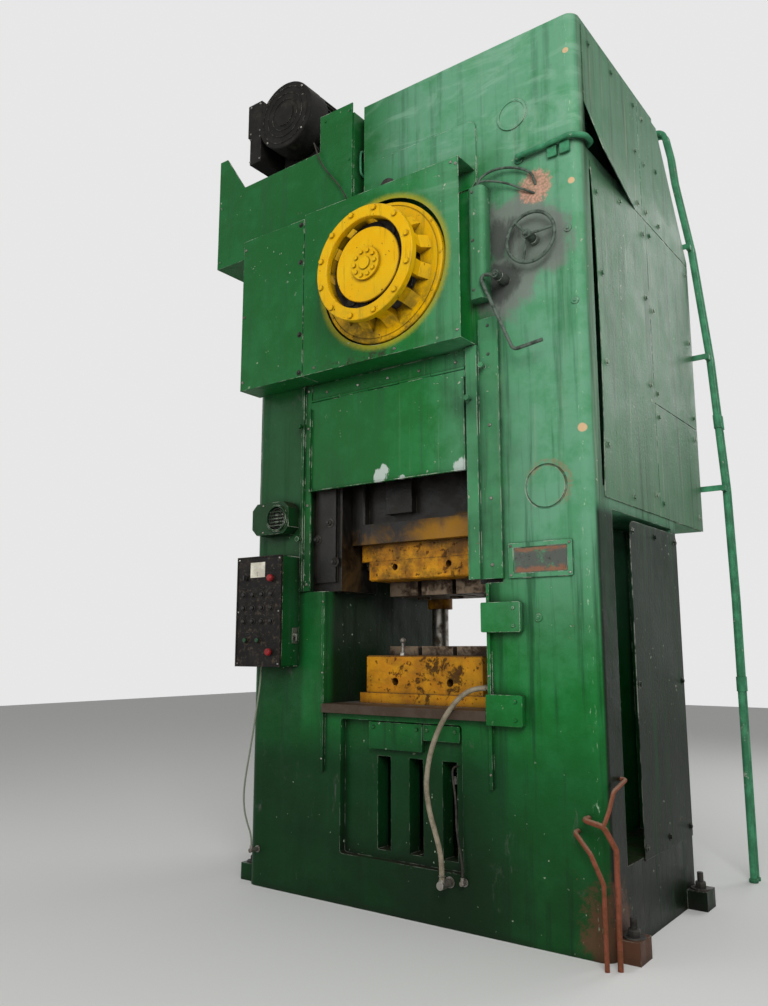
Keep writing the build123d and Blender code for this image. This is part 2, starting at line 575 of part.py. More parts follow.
# Brake housing: rear ring, ribbed drum and foot flange, one casting on the bearing wall
RING_REAR = BRAKE_RING_FRONT + BRAKE_RING_T
RIB_FRONT = BRAKE_FLANGE_FRONT + BRAKE_FLANGE_T + SEAT
DRUM_BORE_R = BRAKE_CORE_R - 25.0
RIB_ROOT_R = DRUM_BORE_R + 1.0
RIB_TOP_R = 350.0
RIB_FOOT_R = 392.0
RIB_FOOT_H = 60.0
GROOVE_IN = 24.0
with BuildPart() as brake_housing:
    barrel((BRAKE_RING_FRONT, RING_REAR), 0, SHAFT_Z, BRAKE_RING_R, bore=DRUM_BORE_R)
    ring_edges = brake_housing.edges().filter_by(GeomType.CIRCLE)
    chamfer(ring_edges.filter_by(lambda edge: edge.radius > BRAKE_CORE_R).sort_by(Axis.Y)[0], 8)
    barrel((BRAKE_RING_FRONT - 1, BRAKE_RING_FRONT + 4), 0, SHAFT_Z, BRAKE_RING_R - GROOVE_IN, Mode.SUBTRACT,
           bore=BRAKE_RING_R - GROOVE_IN - 8)
    barrel((RING_REAR - 1, FRONT - SEAT), 0, SHAFT_Z, BRAKE_CORE_R, bore=DRUM_BORE_R)
    barrel((FRONT - 30 - SEAT, FRONT - SEAT), 0, SHAFT_Z, BRAKE_RING_R - 50, bore=DRUM_BORE_R)
    for number in range(BRAKE_RIBS):
        turn = math.radians(360.0 * (number + 0.5) / BRAKE_RIBS)
        outward = Vector(math.cos(turn), 0, math.sin(turn))
        across = outward.cross(Vector(0, -1, 0))
        with BuildSketch(Plane(origin=(0, 0, SHAFT_Z), x_dir=outward, z_dir=across)) as rib:
            with BuildLine():
                Polyline((RIB_ROOT_R, -RIB_FRONT), (RIB_TOP_R, -RIB_FRONT),
                         (RIB_TOP_R, RIB_FOOT_H - BRAKE_RING_FRONT),
                         (RIB_FOOT_R, -BRAKE_RING_FRONT - 1),
                         (RIB_ROOT_R, -BRAKE_RING_FRONT - 1), close=True)
            make_face()
        extrude(rib.sketch, amount=BRAKE_RIB_W / 2, both=True)
brake_housing.part.label = "brake_housing"
export_step(brake_housing.part, "parts/brake_housing.step")

# Front ring of the brake, bolted to the ribs
HEAD_AF = 30.0
HEAD_H = 14.0
with BuildPart() as brake_front_ring:
    barrel((BRAKE_FLANGE_FRONT, BRAKE_FLANGE_FRONT + BRAKE_FLANGE_T), 0, SHAFT_Z, BRAKE_FLANGE_R,
           bore=BRAKE_FLANGE_BORE)
    chamfer(brake_front_ring.faces().sort_by(Axis.Y)[0].edges(), 4)
    hexagons(ring_of(BRAKE_RIBS, BRAKE_BOLT_PCR, 0, SHAFT_Z, 180.0 / BRAKE_RIBS), HEAD_AF,
             (BRAKE_FLANGE_FRONT - HEAD_H, BRAKE_FLANGE_FRONT + 1))
brake_front_ring.part.label = "brake_front_ring"
export_step(brake_front_ring.part, "parts/brake_front_ring.step")

# Friction disc between the rings, with block linings, keyed on the shaft
DISC_BACK = RIB_FRONT + 75.0
LININGS = 14
LINING_PCR = 245.0
LINING_R = 34.0
with BuildPart() as brake_disc:
    barrel((DISC_BACK - 26, DISC_BACK), 0, SHAFT_Z, DRUM_BORE_R - 6, bore=BRAKE_SHAFT_R + SEAT)
    barrel((DISC_BACK - 40, DISC_BACK + 30), 0, SHAFT_Z, BRAKE_SHAFT_R + 35, bore=BRAKE_SHAFT_R + SEAT)
    with BuildSketch(front_plane(DISC_BACK + 10)) as linings:
        with Locations(*ring_of(LININGS, LINING_PCR, 0, SHAFT_Z)):
            Circle(LINING_R)
    extrude(linings.sketch, amount=46)
brake_disc.part.label = "brake_disc"
export_step(brake_disc.part, "parts/brake_disc.step")

# Cover disc on the shaft's end, with its bolted hub
HUB_R = 106.0
HUB_OUT = 20.0
HUB_CAP_R = 40.0
HUB_BOLTS = 10
HUB_BOLT_PCR = 80.0
with BuildPart() as brake_cover_disc:
    barrel((BRAKE_DISC_FRONT, SHAFT_FRONT - SEAT), 0, SHAFT_Z, BRAKE_DISC_R)
    chamfer(brake_cover_disc.faces().sort_by(Axis.Y)[0].edges(), 4)
    barrel((BRAKE_DISC_FRONT - HUB_OUT, BRAKE_DISC_FRONT + 1), 0, SHAFT_Z, HUB_R)
    barrel((BRAKE_DISC_FRONT - HUB_OUT - 10, BRAKE_DISC_FRONT), 0, SHAFT_Z, HUB_CAP_R)
    hexagons(ring_of(HUB_BOLTS, HUB_BOLT_PCR, 0, SHAFT_Z), 22,
             (BRAKE_DISC_FRONT - HUB_OUT - 12, BRAKE_DISC_FRONT - HUB_OUT + 1))
brake_cover_disc.part.label = "brake_cover_disc"
export_step(brake_cover_disc.part, "parts/brake_cover_disc.step")


def gear_outline(teeth, thinning, first_angle):
    """Tooth outline with involute flanks: root, pitch and tip points of each flank."""
    pressure = math.radians(20)
    pitch_r = MODULE * teeth / 2
    base_r = pitch_r * math.cos(pressure)
    root_r = pitch_r - 1.25 * MODULE
    half_pitch = math.pi / (2 * teeth) - thinning / (2 * pitch_r)
    involute = math.tan(pressure) - pressure
    flank = []
    radii = (max(base_r, root_r), pitch_r - MODULE / 2, pitch_r, pitch_r + MODULE / 2, pitch_r + MODULE)
    for radius in radii:
        slope = math.acos(min(1.0, base_r / radius))
        flank.append((radius, half_pitch + involute - math.tan(slope) + slope))
    flank.insert(0, (root_r, flank[0][1]))
    points = []
    for tooth in range(teeth):
        middle = first_angle + 2 * math.pi * tooth / teeth
        for radius, half in flank:
            points.append((radius * math.cos(middle - half), radius * math.sin(middle - half)))
        for radius, half in reversed(flank):
            points.append((radius * math.cos(middle + half), radius * math.sin(middle + half)))
    return points


# Main gear, running on the shaft's rear seat, with lightening holes and the clutch recess
BACKLASH = 1.6
GEAR_DISH = 45.0
GEAR_RIM_R = 620.0
GEAR_HUB_R = 230.0
GEAR_HOLES = 6
GEAR_HOLE_R = 115.0
MESH_ANGLE = math.radians(COUNTERSHAFT_ANGLE)
with BuildPart() as main_gear:
    with BuildSketch(front_plane(GEAR_FRONT + GEAR_T)):
        with Locations((0, SHAFT_Z)):
            Polygon(*gear_outline(GEAR_TEETH, BACKLASH / 2, MESH_ANGLE), align=None)
            Circle(GEAR_SEAT_R + RUNNING, mode=Mode.SUBTRACT)
    extrude(amount=GEAR_T)
    for y in ((GEAR_FRONT - 1, GEAR_FRONT + GEAR_DISH), (GEAR_REAR - GEAR_DISH, GEAR_REAR + 1)):
        with BuildSketch(front_plane(y[1])) as dish:
            with Locations((0, SHAFT_Z)):
                Circle(GEAR_RIM_R)
                Circle(GEAR_HUB_R, mode=Mode.SUBTRACT)
        extrude(dish.sketch, amount=y[1] - y[0], mode=Mode.SUBTRACT)
    with BuildSketch(front_plane(GEAR_REAR)) as holes:
        with Locations(*ring_of(GEAR_HOLES, (GEAR_RIM_R + GEAR_HUB_R) / 2, 0, SHAFT_Z, 30)):
            Circle(GEAR_HOLE_R)
    extrude(holes.sketch, amount=GEAR_T, mode=Mode.SUBTRACT)
main_gear.part.label = "main_gear"
export_step(main_gear.part, "parts/main_gear.step")

# Countershaft with its pinion cut in one piece
with BuildPart() as countershaft:
    barrel((CS_BEARING_FRONT + 10, GEAR_REAR + 30), CS_X, CS_Z, COUNTERSHAFT_R)
    first = MESH_ANGLE + math.pi + math.pi / PINION_TEETH
    with BuildSketch(front_plane(GEAR_REAR - 3)) as pinion:
        with Locations((CS_X, CS_Z)):
            Polygon(*gear_outline(PINION_TEETH, BACKLASH / 2, first), align=None)
    extrude(pinion.sketch, amount=GEAR_T - 6)
countershaft.part.label = "countershaft"
export_step(countershaft.part, "parts/countershaft.step")

GROOVE_W = BELT_W + 2.0
FLYWHEEL_REAR = FLYWHEEL_FRONT + FLYWHEEL_T
FLYWHEEL_DISH = 60.0
FLYWHEEL_RIM = 110.0
FLYWHEEL_HUB_R = 150.0
FLYWHEEL_MID = FLYWHEEL_FRONT + FLYWHEEL_T / 2
BELT_MIDS = [FLYWHEEL_MID + (number - (BELTS - 1) / 2) * BELT_PITCH for number in range(BELTS)]
with BuildPart() as flywheel:
    barrel((FLYWHEEL_FRONT, FLYWHEEL_REAR), CS_X, CS_Z, FLYWHEEL_R, bore=COUNTERSHAFT_R + SEAT)
    for y in ((FLYWHEEL_FRONT - 1, FLYWHEEL_FRONT + FLYWHEEL_DISH),
              (FLYWHEEL_REAR - FLYWHEEL_DISH, FLYWHEEL_REAR + 1)):
        barrel(y, CS_X, CS_Z, FLYWHEEL_R - FLYWHEEL_RIM, Mode.SUBTRACT, bore=FLYWHEEL_HUB_R)
    for middle in BELT_MIDS:
        barrel((middle - GROOVE_W / 2, middle + GROOVE_W / 2), CS_X, CS_Z, FLYWHEEL_R + 5, Mode.SUBTRACT,
               bore=FLYWHEEL_R - BELT_T)
flywheel.part.label = "flywheel"
export_step(flywheel.part, "parts/flywheel.step")

with BuildPart() as drive_belts:
    for middle in BELT_MIDS:
        for grow, mode in ((BELT_T + SEAT, Mode.ADD), (SEAT, Mode.SUBTRACT)):
            with BuildSketch(front_plane(middle + BELT_W / 2)) as loop:
                with Locations((MOTOR_X, MOTOR_Z)):
                    Circle(PULLEY_R - BELT_T + grow)
                with Locations((CS_X, CS_Z)):
                    Circle(FLYWHEEL_R - BELT_T + grow)
                make_hull()
            extrude(loop.sketch, amount=BELT_W, mode=mode)
drive_belts.part.label = "drive_belts"
export_step(drive_belts.part, "parts/drive_belts.step")

# Motor: finned body on feet, open inside for the rotor, with a terminal box on its left
MOTOR_BORE_R = 170.0
MOTOR_FOOT_Z = MOTOR_Z - 315.0
FINS = 32
TERMINAL_X = MOTOR_X - MOTOR_R - 6.0
TERMINAL_BOXES = ((TERMINAL_X - 124.0, (MOTOR_Z - 270, MOTOR_Z - 29)),
                  (TERMINAL_X - 150.0, (MOTOR_Z - 30, MOTOR_Z + 245)))
with BuildPart() as motor_body:
    with BuildSketch(front_plane(MOTOR_BODY_REAR - 40)) as ribbed:
        with Locations((MOTOR_X, MOTOR_Z)):
            Circle(MOTOR_R - 32)
            with PolarLocations(MOTOR_R - 22, FINS):
                Rectangle(40, 7)
            Circle(MOTOR_BORE_R, mode=Mode.SUBTRACT)
    extrude(ribbed.sketch, amount=MOTOR_BODY_REAR - MOTOR_BODY_FRONT - 80)
    for y in ((MOTOR_BODY_FRONT, MOTOR_BODY_FRONT + 41), (MOTOR_BODY_REAR - 41, MOTOR_BODY_REAR)):
        barrel(y, MOTOR_X, MOTOR_Z, MOTOR_R - 4, bore=MOTOR_SHAFT_R + RUNNING)
    for side in (-1, 1):
        across = sorted((MOTOR_X + side * 150, MOTOR_X + side * 270))
        block(across, (MOTOR_BODY_FRONT + 60, MOTOR_BODY_REAR - 60), (MOTOR_FOOT_Z, MOTOR_FOOT_Z + 35))
        across = sorted((MOTOR_X + side * 170, MOTOR_X + side * 200))
        block(across, (MOTOR_BODY_FRONT + 60, MOTOR_BODY_REAR - 60), (MOTOR_FOOT_Z + 30, MOTOR_Z - 130))
    block((MOTOR_X - 171, MOTOR_X + 171), (MOTOR_BODY_FRONT + 60, MOTOR_BODY_FRONT + 80),
          (MOTOR_FOOT_Z + 20, MOTOR_Z - MOTOR_BORE_R - 15))
    block((TERMINAL_X - 1, MOTOR_X - MOTOR_R + 60), (-520.0, -320.0), (MOTOR_Z - 120, MOTOR_Z + 120))
    for left, z in TERMINAL_BOXES:
        block((left, TERMINAL_X), (MOTOR_FRONT + 25, -300.0), z)
        fillet(motor_body.faces().sort_by(Axis.X)[0].edges(), 10)
motor_body.part.label = "motor_body"
export_step(motor_body.part, "parts/motor_body.step")

with BuildPart() as motor_fan_cover:
    barrel((MOTOR_FRONT, MOTOR_BODY_FRONT - SEAT), MOTOR_X, MOTOR_Z, MOTOR_R)
    fillet(motor_fan_cover.faces().sort_by(Axis.Y)[0].edges(), 12)
    barrel((MOTOR_FRONT + 6, MOTOR_BODY_FRONT), MOTOR_X, MOTOR_Z, MOTOR_R - 6, Mode.SUBTRACT)
    with BuildSketch(front_plane(MOTOR_FRONT + 7)) as grille:
        with Locations((MOTOR_X, MOTOR_Z)):
            for radius in (125, 155, 185):
                with PolarLocations(0, 8):
                    SlotArc(CenterArc((0, 0), radius, -18, 36), 12)
    extrude(grille.sketch, amount=8, mode=Mode.SUBTRACT)
    barrel((MOTOR_FRONT - 8, MOTOR_FRONT + 6), MOTOR_X, MOTOR_Z, 88)
motor_fan_cover.part.label = "motor_fan_cover"
export_step(motor_fan_cover.part, "parts/motor_fan_cover.step")

with BuildPart() as motor_rotor:
    barrel((MOTOR_BODY_FRONT - 120, FLYWHEEL_REAR + 5), MOTOR_X, MOTOR_Z, MOTOR_SHAFT_R)
    barrel((MOTOR_BODY_FRONT + 100, MOTOR_BODY_REAR - 100), MOTOR_X, MOTOR_Z, MOTOR_BORE_R - 4)
    barrel((MOTOR_BODY_FRONT - 100, MOTOR_BODY_FRONT - 90), MOTOR_X, MOTOR_Z, 215)
    with BuildSketch(front_plane(MOTOR_BODY_FRONT - 40)) as blades:
        with Locations((MOTOR_X, MOTOR_Z)):
            with PolarLocations(140, 8):
                Rectangle(140, 6)
    extrude(blades.sketch, amount=51)
motor_rotor.part.label = "motor_rotor"
export_step(motor_rotor.part, "parts/motor_rotor.step")

with BuildPart() as motor_pulley:
    barrel((FLYWHEEL_FRONT, FLYWHEEL_REAR), MOTOR_X, MOTOR_Z, PULLEY_R, bore=MOTOR_SHAFT_R + SEAT)
    for middle in BELT_MIDS:
        barrel((middle - GROOVE_W / 2, middle + GROOVE_W / 2), MOTOR_X, MOTOR_Z, PULLEY_R + 5, Mode.SUBTRACT,
               bore=PULLEY_R - BELT_T)
motor_pulley.part.label = "motor_pulley"
export_step(motor_pulley.part, "parts/motor_pulley.step")

# Motor console: face plate with the motor's notch, shelf on the shoulder and outboard box
CONSOLE_LEFT = -SIDE - 490.0
CONSOLE_RIGHT = -410.0
CONSOLE_BOTTOM = SHOULDER_Z - 570.0
CONSOLE_TOP = SHOULDER_Z + 335.0
NOTCH_LEFT = -SIDE - 205.0
NOTCH_RIGHT = MOTOR_X + 350.0
NOTCH_Z = SHOULDER_Z + 55.0
CONSOLE_REAR = 560.0
SHELF_T = 30.0
SHELF_TOP = SHOULDER_Z + SEAT + SHELF_T
with BuildPart() as motor_console:
    with BuildSketch(front_plane(FRONT - SEAT)) as face:
        with BuildLine():
            Polyline((CONSOLE_LEFT, CONSOLE_BOTTOM), (CONSOLE_RIGHT, CONSOLE_BOTTOM),
                     (CONSOLE_RIGHT, CONSOLE_TOP), (NOTCH_RIGHT, CONSOLE_TOP), (NOTCH_RIGHT, NOTCH_Z),
                     (NOTCH_LEFT, NOTCH_Z - 15), (CONSOLE_LEFT + 80, CONSOLE_TOP + 15),
                     (CONSOLE_LEFT, CONSOLE_TOP + 15), close=True)
        make_face()
        fillet(face.vertices().sort_by_distance((NOTCH_RIGHT, FRONT, CONSOLE_TOP))[0], 25)
    extrude(amount=PLATE)
    block((CONSOLE_LEFT, SHOULDER_X - SEAT), (FRONT - SEAT - 1, CONSOLE_REAR),
          (SHELF_TOP - SHELF_T, SHELF_TOP))
    block((CONSOLE_LEFT, CONSOLE_LEFT + PLATE), (FRONT - SEAT - 1, CONSOLE_REAR),
          (CONSOLE_BOTTOM, SHELF_TOP - 1))
    block((CONSOLE_LEFT, -SIDE - SEAT), (FRONT - SEAT - 1, CONSOLE_REAR),
          (CONSOLE_BOTTOM, CONSOLE_BOTTOM + PLATE))
    for y in (-250.0, 150.0, CONSOLE_REAR - PLATE):
        block((CONSOLE_LEFT + 1, -SIDE - SEAT), (y, y + PLATE), (CONSOLE_BOTTOM + 1, SHELF_TOP - 1))
    for y in (-450.0, 430.0):
        block((MOTOR_X - 320, MOTOR_X + 320), (y, y + 110), (SHELF_TOP - 1, MOTOR_FOOT_Z - SEAT))
motor_console.part.label = "motor_console"
export_step(motor_console.part, "parts/motor_console.step")

# Guard box in front of the crank: two folded sheets that meet at a seam
GUARD_BACK = FRONT - PLATE - 2 * SEAT
OPENING_R = BRAKE_RING_R + 20.0
OPENING_Z = SHAFT_Z + 9.0
with BuildPart() as guard_panel_left:
    block((GUARD_LEFT, GUARD_SEAM - SEAM_GAP / 2), (GUARD_FRONT, GUARD_BACK), (GUARD_BOTTOM, GUARD_LEFT_TOP))
    block((GUARD_LEFT + SHEET, GUARD_SEAM), (GUARD_FRONT + SHEET, GUARD_BACK + 1),
          (GUARD_BOTTOM + SHEET, GUARD_LEFT_TOP - SHEET), Mode.SUBTRACT)
guard_panel_left.part.label = "guard_panel_left"
export_step(guard_panel_left.part, "parts/guard_panel_left.step")

with BuildPart() as guard_panel_right:
    block((GUARD_SEAM + SEAM_GAP / 2, GUARD_RIGHT), (GUARD_FRONT, GUARD_BACK), (GUARD_BOTTOM, GUARD_TOP))
    block((GUARD_SEAM, GUARD_RIGHT + 1), (GUARD_FRONT + SHEET, GUARD_BACK + 1),
          (GUARD_BOTTOM + SHEET, GUARD_TOP - SHEET), Mode.SUBTRACT)
    barrel((GUARD_FRONT - 1, GUARD_FRONT + SHEET + 1), 0, OPENING_Z, OPENING_R, Mode.SUBTRACT)
guard_panel_right.part.label = "guard_panel_right"
export_step(guard_panel_right.part, "parts/guard_panel_right.step")

# Strips beside the flap, the rounded post beside the guard box, and the studs that clamp the flap
STRIP_TOP = GUARD_BOTTOM - 4.0
STRIP_BOTTOM = 1950.0
STRIP_BACK = FRONT - SEAT
LEFT_STRIP_X = (PANEL_RIGHT + 2.0, -805.0)
LEFT_STRIP_INNER = FLAP_LEFT - 6.0
LEFT_STRIP_OUT = 30.0
LEFT_INNER_OUT = 12.0
RIGHT_STRIP_X = (FLAP_RIGHT + 20.0, 725.0)
RIGHT_STRIP_OUT = 24.0
CHANNEL_RIGHT = 590.0
CHANNEL_OUT = 48.0
RISER_LEFT = GUARD_RIGHT + 9.0
RISER_TOP = 3530.0
POST_X = (566.0, 680.0)
POST_Z = (3640.0, 4385.0)
POST_OUT = 88.0
POST_ROUND = 34.0
STUDS = ((-830.0, 3080.0, 8.0), (-830.0, 2290.0, 8.0), (545.0, 3033.0, CHANNEL_OUT),
         (632.0, 3226.0, RIGHT_STRIP_OUT))
STUD_R = 9.0
STUD_NUT_R = 17.0
with BuildPart() as guard_strips:
    block(POST_X, (FRONT - POST_OUT, STRIP_BACK), POST_Z)
    fillet(guard_strips.edges().filter_by(Axis.Z).group_by(Axis.Y)[0], POST_ROUND)
    fillet(guard_strips.faces().sort_by(Axis.Z)[-1].edges().sort_by(Axis.Y)[0], 20)
    block(LEFT_STRIP_X, (FRONT - LEFT_STRIP_OUT, STRIP_BACK), (STRIP_BOTTOM - 15, STRIP_TOP))
    block((LEFT_STRIP_X[0] - 1, LEFT_STRIP_X[1] - 10), (FRONT - LEFT_STRIP_OUT - 1, FRONT - 8),
          (STRIP_BOTTOM - 16, STRIP_TOP + 1), Mode.SUBTRACT)
    block((LEFT_STRIP_X[1] - 1, LEFT_STRIP_INNER), (FRONT - LEFT_INNER_OUT, STRIP_BACK),
          (STRIP_BOTTOM - 15, STRIP_TOP))
    block(RIGHT_STRIP_X, (FRONT - RIGHT_STRIP_OUT, STRIP_BACK), (STRIP_BOTTOM, STRIP_TOP))
    block((RIGHT_STRIP_X[0], CHANNEL_RIGHT), (FRONT - CHANNEL_OUT, FRONT - RIGHT_STRIP_OUT + 1),
          (STRIP_BOTTOM, STRIP_TOP))
    block((RIGHT_STRIP_X[0] + SHEET, CHANNEL_RIGHT - SHEET), (FRONT - CHANNEL_OUT + SHEET, FRONT + 1),
          (STRIP_BOTTOM - 1, STRIP_TOP - SHEET), Mode.SUBTRACT)
    block((CHANNEL_RIGHT, RIGHT_STRIP_X[1] - SHEET), (FRONT - RIGHT_STRIP_OUT + SHEET, FRONT + 1),
          (STRIP_BOTTOM - 1, STRIP_TOP - SHEET), Mode.SUBTRACT)
    block((RISER_LEFT, RIGHT_STRIP_X[1]), (FRONT - RIGHT_STRIP_OUT, STRIP_BACK), (STRIP_TOP - 1, RISER_TOP))
    for x, z, depth in STUDS:
        barrel((FRONT - depth - 40, FRONT - depth + 1), x, z, STUD_R)
        barrel((FRONT - depth - 52, FRONT - depth - 30), x, z, STUD_NUT_R)
guard_strips.part.label = "guard_strips"
export_step(guard_strips.part, "parts/guard_strips.step")

# Hinge strip above the flap with its fixed knuckles and pin
KNUCKLES = 5
KNUCKLE_GAP = 1.5
KNUCKLE_L = (FLAP_RIGHT - FLAP_LEFT) / KNUCKLES


def knuckle_spans(first):
    """Ends of every second knuckle along the flap's hinge."""
    spans = []
    for number in range(first, KNUCKLES, 2):
        left = FLAP_LEFT + number * KNUCKLE_L
        spans.append((left + KNUCKLE_GAP, left + KNUCKLE_L - KNUCKLE_GAP))
    return spans


with BuildPart() as flap_hinge:
    block((LEFT_STRIP_INNER + SEAT, RIGHT_STRIP_X[0] - SEAT), (FRONT - 7, STRIP_BACK), (FLAP_HINGE_Z, STRIP_TOP))
    for left, right in knuckle_spans(0):
        block((left, right), (HINGE_Y, FRONT - 6), (FLAP_HINGE_Z + 3, FLAP_HINGE_Z + FLAP_BARREL_R))
        with BuildSketch(side_plane(left)) as knuckle:
            with Locations((HINGE_Y, FLAP_HINGE_Z)):
                Circle(FLAP_BARREL_R)
        extrude(knuckle.sketch, amount=right - left)
    with BuildSketch(side_plane(FLAP_LEFT)) as pin:
        with Locations((HINGE_Y, FLAP_HINGE_Z)):
            Circle(FLAP_PIN_R)
    extrude(pin.sketch, amount=FLAP_RIGHT - FLAP_LEFT)
flap_hinge.part.label = "flap_hinge"
export_step(flap_hinge.part, "parts/flap_hinge.step")

# Flap: folded sheet with returned side and bottom edges, hung on its own knuckles
FLAP_RETURN = 22.0
FLAP_TOP_GAP = 3.0
with BuildPart() as flap:
    sheet_y = (HINGE_Y - SHEET / 2, HINGE_Y + SHEET / 2)
    block((FLAP_LEFT, FLAP_RIGHT), sheet_y, (FLAP_BOTTOM, FLAP_HINGE_Z - FLAP_BARREL_R - FLAP_TOP_GAP))
    for x in ((FLAP_LEFT, FLAP_LEFT + SHEET), (FLAP_RIGHT - SHEET, FLAP_RIGHT)):
        block(x, (HINGE_Y - FLAP_RETURN, sheet_y[1]), (FLAP_BOTTOM, FLAP_HINGE_Z - 60))
    block((FLAP_LEFT, FLAP_RIGHT), (HINGE_Y - FLAP_RETURN, sheet_y[1]), (FLAP_BOTTOM, FLAP_BOTTOM + SHEET))
    for left, right in knuckle_spans(1):
        block((left, right), sheet_y,
              (FLAP_HINGE_Z - FLAP_BARREL_R - FLAP_TOP_GAP - 1, FLAP_HINGE_Z - FLAP_PIN_R - 1))
        with BuildSketch(side_plane(left)) as knuckle:
            with Locations((HINGE_Y, FLAP_HINGE_Z)):
                Circle(FLAP_BARREL_R)
                Circle(FLAP_PIN_R + RUNNING, mode=Mode.SUBTRACT)
        extrude(knuckle.sketch, amount=right - left)
flap.part.label = "flap"
export_step(flap.part, "parts/flap.step")

# Housing of the gear train behind the frame, open towards the frame: a bay for the flywheel and
# belts on the left, up to the head, and a sloping roof over the gear on the right
HOUSING_HALF = SIDE - 8.0
HOUSING_WALL = 8.0
HOUSING_RIB_H = 50.0
LOWER_SEAM_Z = 3140.0
BELT_GUARD_X = (18.0 - SIDE, -232.0)
BELT_GUARD_LIP = 40.0


def roof_profile(inset):
    """Side outline of the housing under its sloping roof, drawn in by a wall's thickness."""
    rise, run = HOUSING_TOP - SLOPE_Z, HOUSING_REAR - SLOPE_Y
    back = inset * math.hypot(rise, run) / rise
    front = REAR + SEAT if inset == 0 else REAR - 1
    roof_y = HOUSING_REAR - back - (rise - inset) * run / rise
    rear_z = SLOPE_Z + (inset - back) * rise / run
    return ((front, COVER_BOTTOM + inset), (HOUSING_REAR - inset, COVER_BOTTOM + inset),
            (HOUSING_REAR - inset, rear_z), (roof_y, HOUSING_TOP - inset), (front, HOUSING_TOP - inset))


with BuildPart() as drive_housing:
    block((-HOUSING_HALF, BAY_RIGHT), (REAR + SEAT, HOUSING_REAR), (COVER_BOTTOM, HOUSING_TOP))
    for inset, mode in ((0.0, Mode.ADD), (HOUSING_WALL, Mode.SUBTRACT)):
        with BuildSketch(side_plane(BAY_RIGHT - 1 - inset)) as profile:
            with BuildLine():
                Polyline(*roof_profile(inset), close=True)
            make_face()
        extrude(profile.sketch, amount=HOUSING_HALF - BAY_RIGHT + 1, mode=mode)
    block((HOUSING_WALL - HOUSING_HALF, BAY_RIGHT - HOUSING_WALL), (REAR, HOUSING_REAR - HOUSING_WALL),
          (COVER_BOTTOM + HOUSING_WALL, HOUSING_TOP - HOUSING_WALL), Mode.SUBTRACT)
    block((BELT_GUARD_X[0] + 20, BELT_GUARD_X[1] - 20), (REAR - 1, FLYWHEEL_REAR + 10),
          (HOUSING_TOP - 20, HOUSING_TOP + 1), Mode.SUBTRACT)
    for z in (LOWER_SEAM_Z, COVER_SEAM_Z):
        block((200 - HOUSING_HALF, HOUSING_HALF - 200), (HOUSING_REAR - 1, HOUSING_REAR + 22),
              (z - HOUSING_RIB_H / 2, z + HOUSING_RIB_H / 2))
drive_housing.part.label = "drive_housing"
export_step(drive_housing.part, "parts/drive_housing.step")

# Belt guard over the motor pulley
with BuildPart() as belt_guard:
    for shrink, mode in ((0.0, Mode.ADD), (SHEET, Mode.SUBTRACT)):
        with BuildSketch(front_plane(FLYWHEEL_REAR + 18 - shrink)) as outline:
            with Locations((MOTOR_X, MOTOR_Z)):
                Circle(PULLEY_R + 45 - shrink)
            with Locations((sum(BELT_GUARD_X) / 2, HOUSING_TOP + SEAT + BELT_GUARD_LIP / 2 - shrink)):
                Rectangle(BELT_GUARD_X[1] - BELT_GUARD_X[0] - 2 * shrink, BELT_GUARD_LIP)
            make_hull()
        extrude(outline.sketch, amount=FLYWHEEL_T + 30 - 2 * shrink, mode=mode)
    block((-1400.0, -200.0), (REAR - 40, HOUSING_REAR), (HOUSING_TOP - 60, HOUSING_TOP + SEAT), Mode.SUBTRACT)
    barrel((REAR - 1, FLYWHEEL_FRONT), MOTOR_X, MOTOR_Z, MOTOR_SHAFT_R + 12, Mode.SUBTRACT)
belt_guard.part.label = "belt_guard"
export_step(belt_guard.part, "parts/belt_guard.step")

# Side covers: flat sheets over the hollows. The upper front one is bent out at its lower corner
COVER_X = SIDE + SEAT
UPPER_FRONT_Y = -610.0
BEND_END_Y = 190.0
BEND_TOP_Z = COVER_SEAM_Z + 360.0
BEND_LIFT = 110.0
BASE_COVER_TOP = 2300.0
MID_COVER_FRONT = ((-548.0, COVER_BOTTOM), (-508.0, 3450.0), (-558.0, COVER_SEAM_Z - SEAM_GAP))


def cover(y, z, side=1):
    """Side cover sheet of the part being built, between two values along Y and Z."""
    across = (COVER_X, COVER_X + SHEET) if side > 0 else (-COVER_X - SHEET, -COVER_X)
    block(across, y, z)


with BuildPart() as right_covers_upper:
    with BuildSketch(side_plane(COVER_X)) as flat:
        with BuildLine():
            Polyline((UPPER_SEAM_Y + SEAM_GAP, COVER_SEAM_Z), (HOUSING_REAR, COVER_SEAM_Z),
                     (HOUSING_REAR, SLOPE_Z), (SLOPE_Y, HOUSING_TOP),
                     (UPPER_SEAM_Y + SEAM_GAP, HOUSING_TOP), close=True)
        make_face()
        with BuildLine():
            Polyline((UPPER_FRONT_Y, HOUSING_TOP), (UPPER_FRONT_Y, BEND_TOP_Z), (BEND_END_Y, COVER_SEAM_Z),
                     (UPPER_SEAM_Y, COVER_SEAM_Z), (UPPER_SEAM_Y, HOUSING_TOP), close=True)
        make_face()
    extrude(flat.sketch, amount=SHEET)
    hinge_end = Vector(COVER_X, BEND_END_Y, COVER_SEAM_Z)
    along = Vector(0, UPPER_FRONT_Y - BEND_END_Y, BEND_TOP_Z - COVER_SEAM_Z)
    lifted = Vector(BEND_LIFT, UPPER_FRONT_Y - BEND_END_Y, 0)
    bent_plane = Plane(origin=hinge_end, x_dir=along, z_dir=lifted.cross(along))
    corner = bent_plane.to_local_coords(hinge_end + lifted)
    with BuildSketch(bent_plane) as bent:
        with BuildLine():
            Polyline((0, 0), (along.length, 0), (corner.X, corner.Y), close=True)
        make_face()
    extrude(bent.sketch, amount=-SHEET)
right_covers_upper.part.label = "right_covers_upper"
export_step(right_covers_upper.part, "parts/right_covers_upper.step")

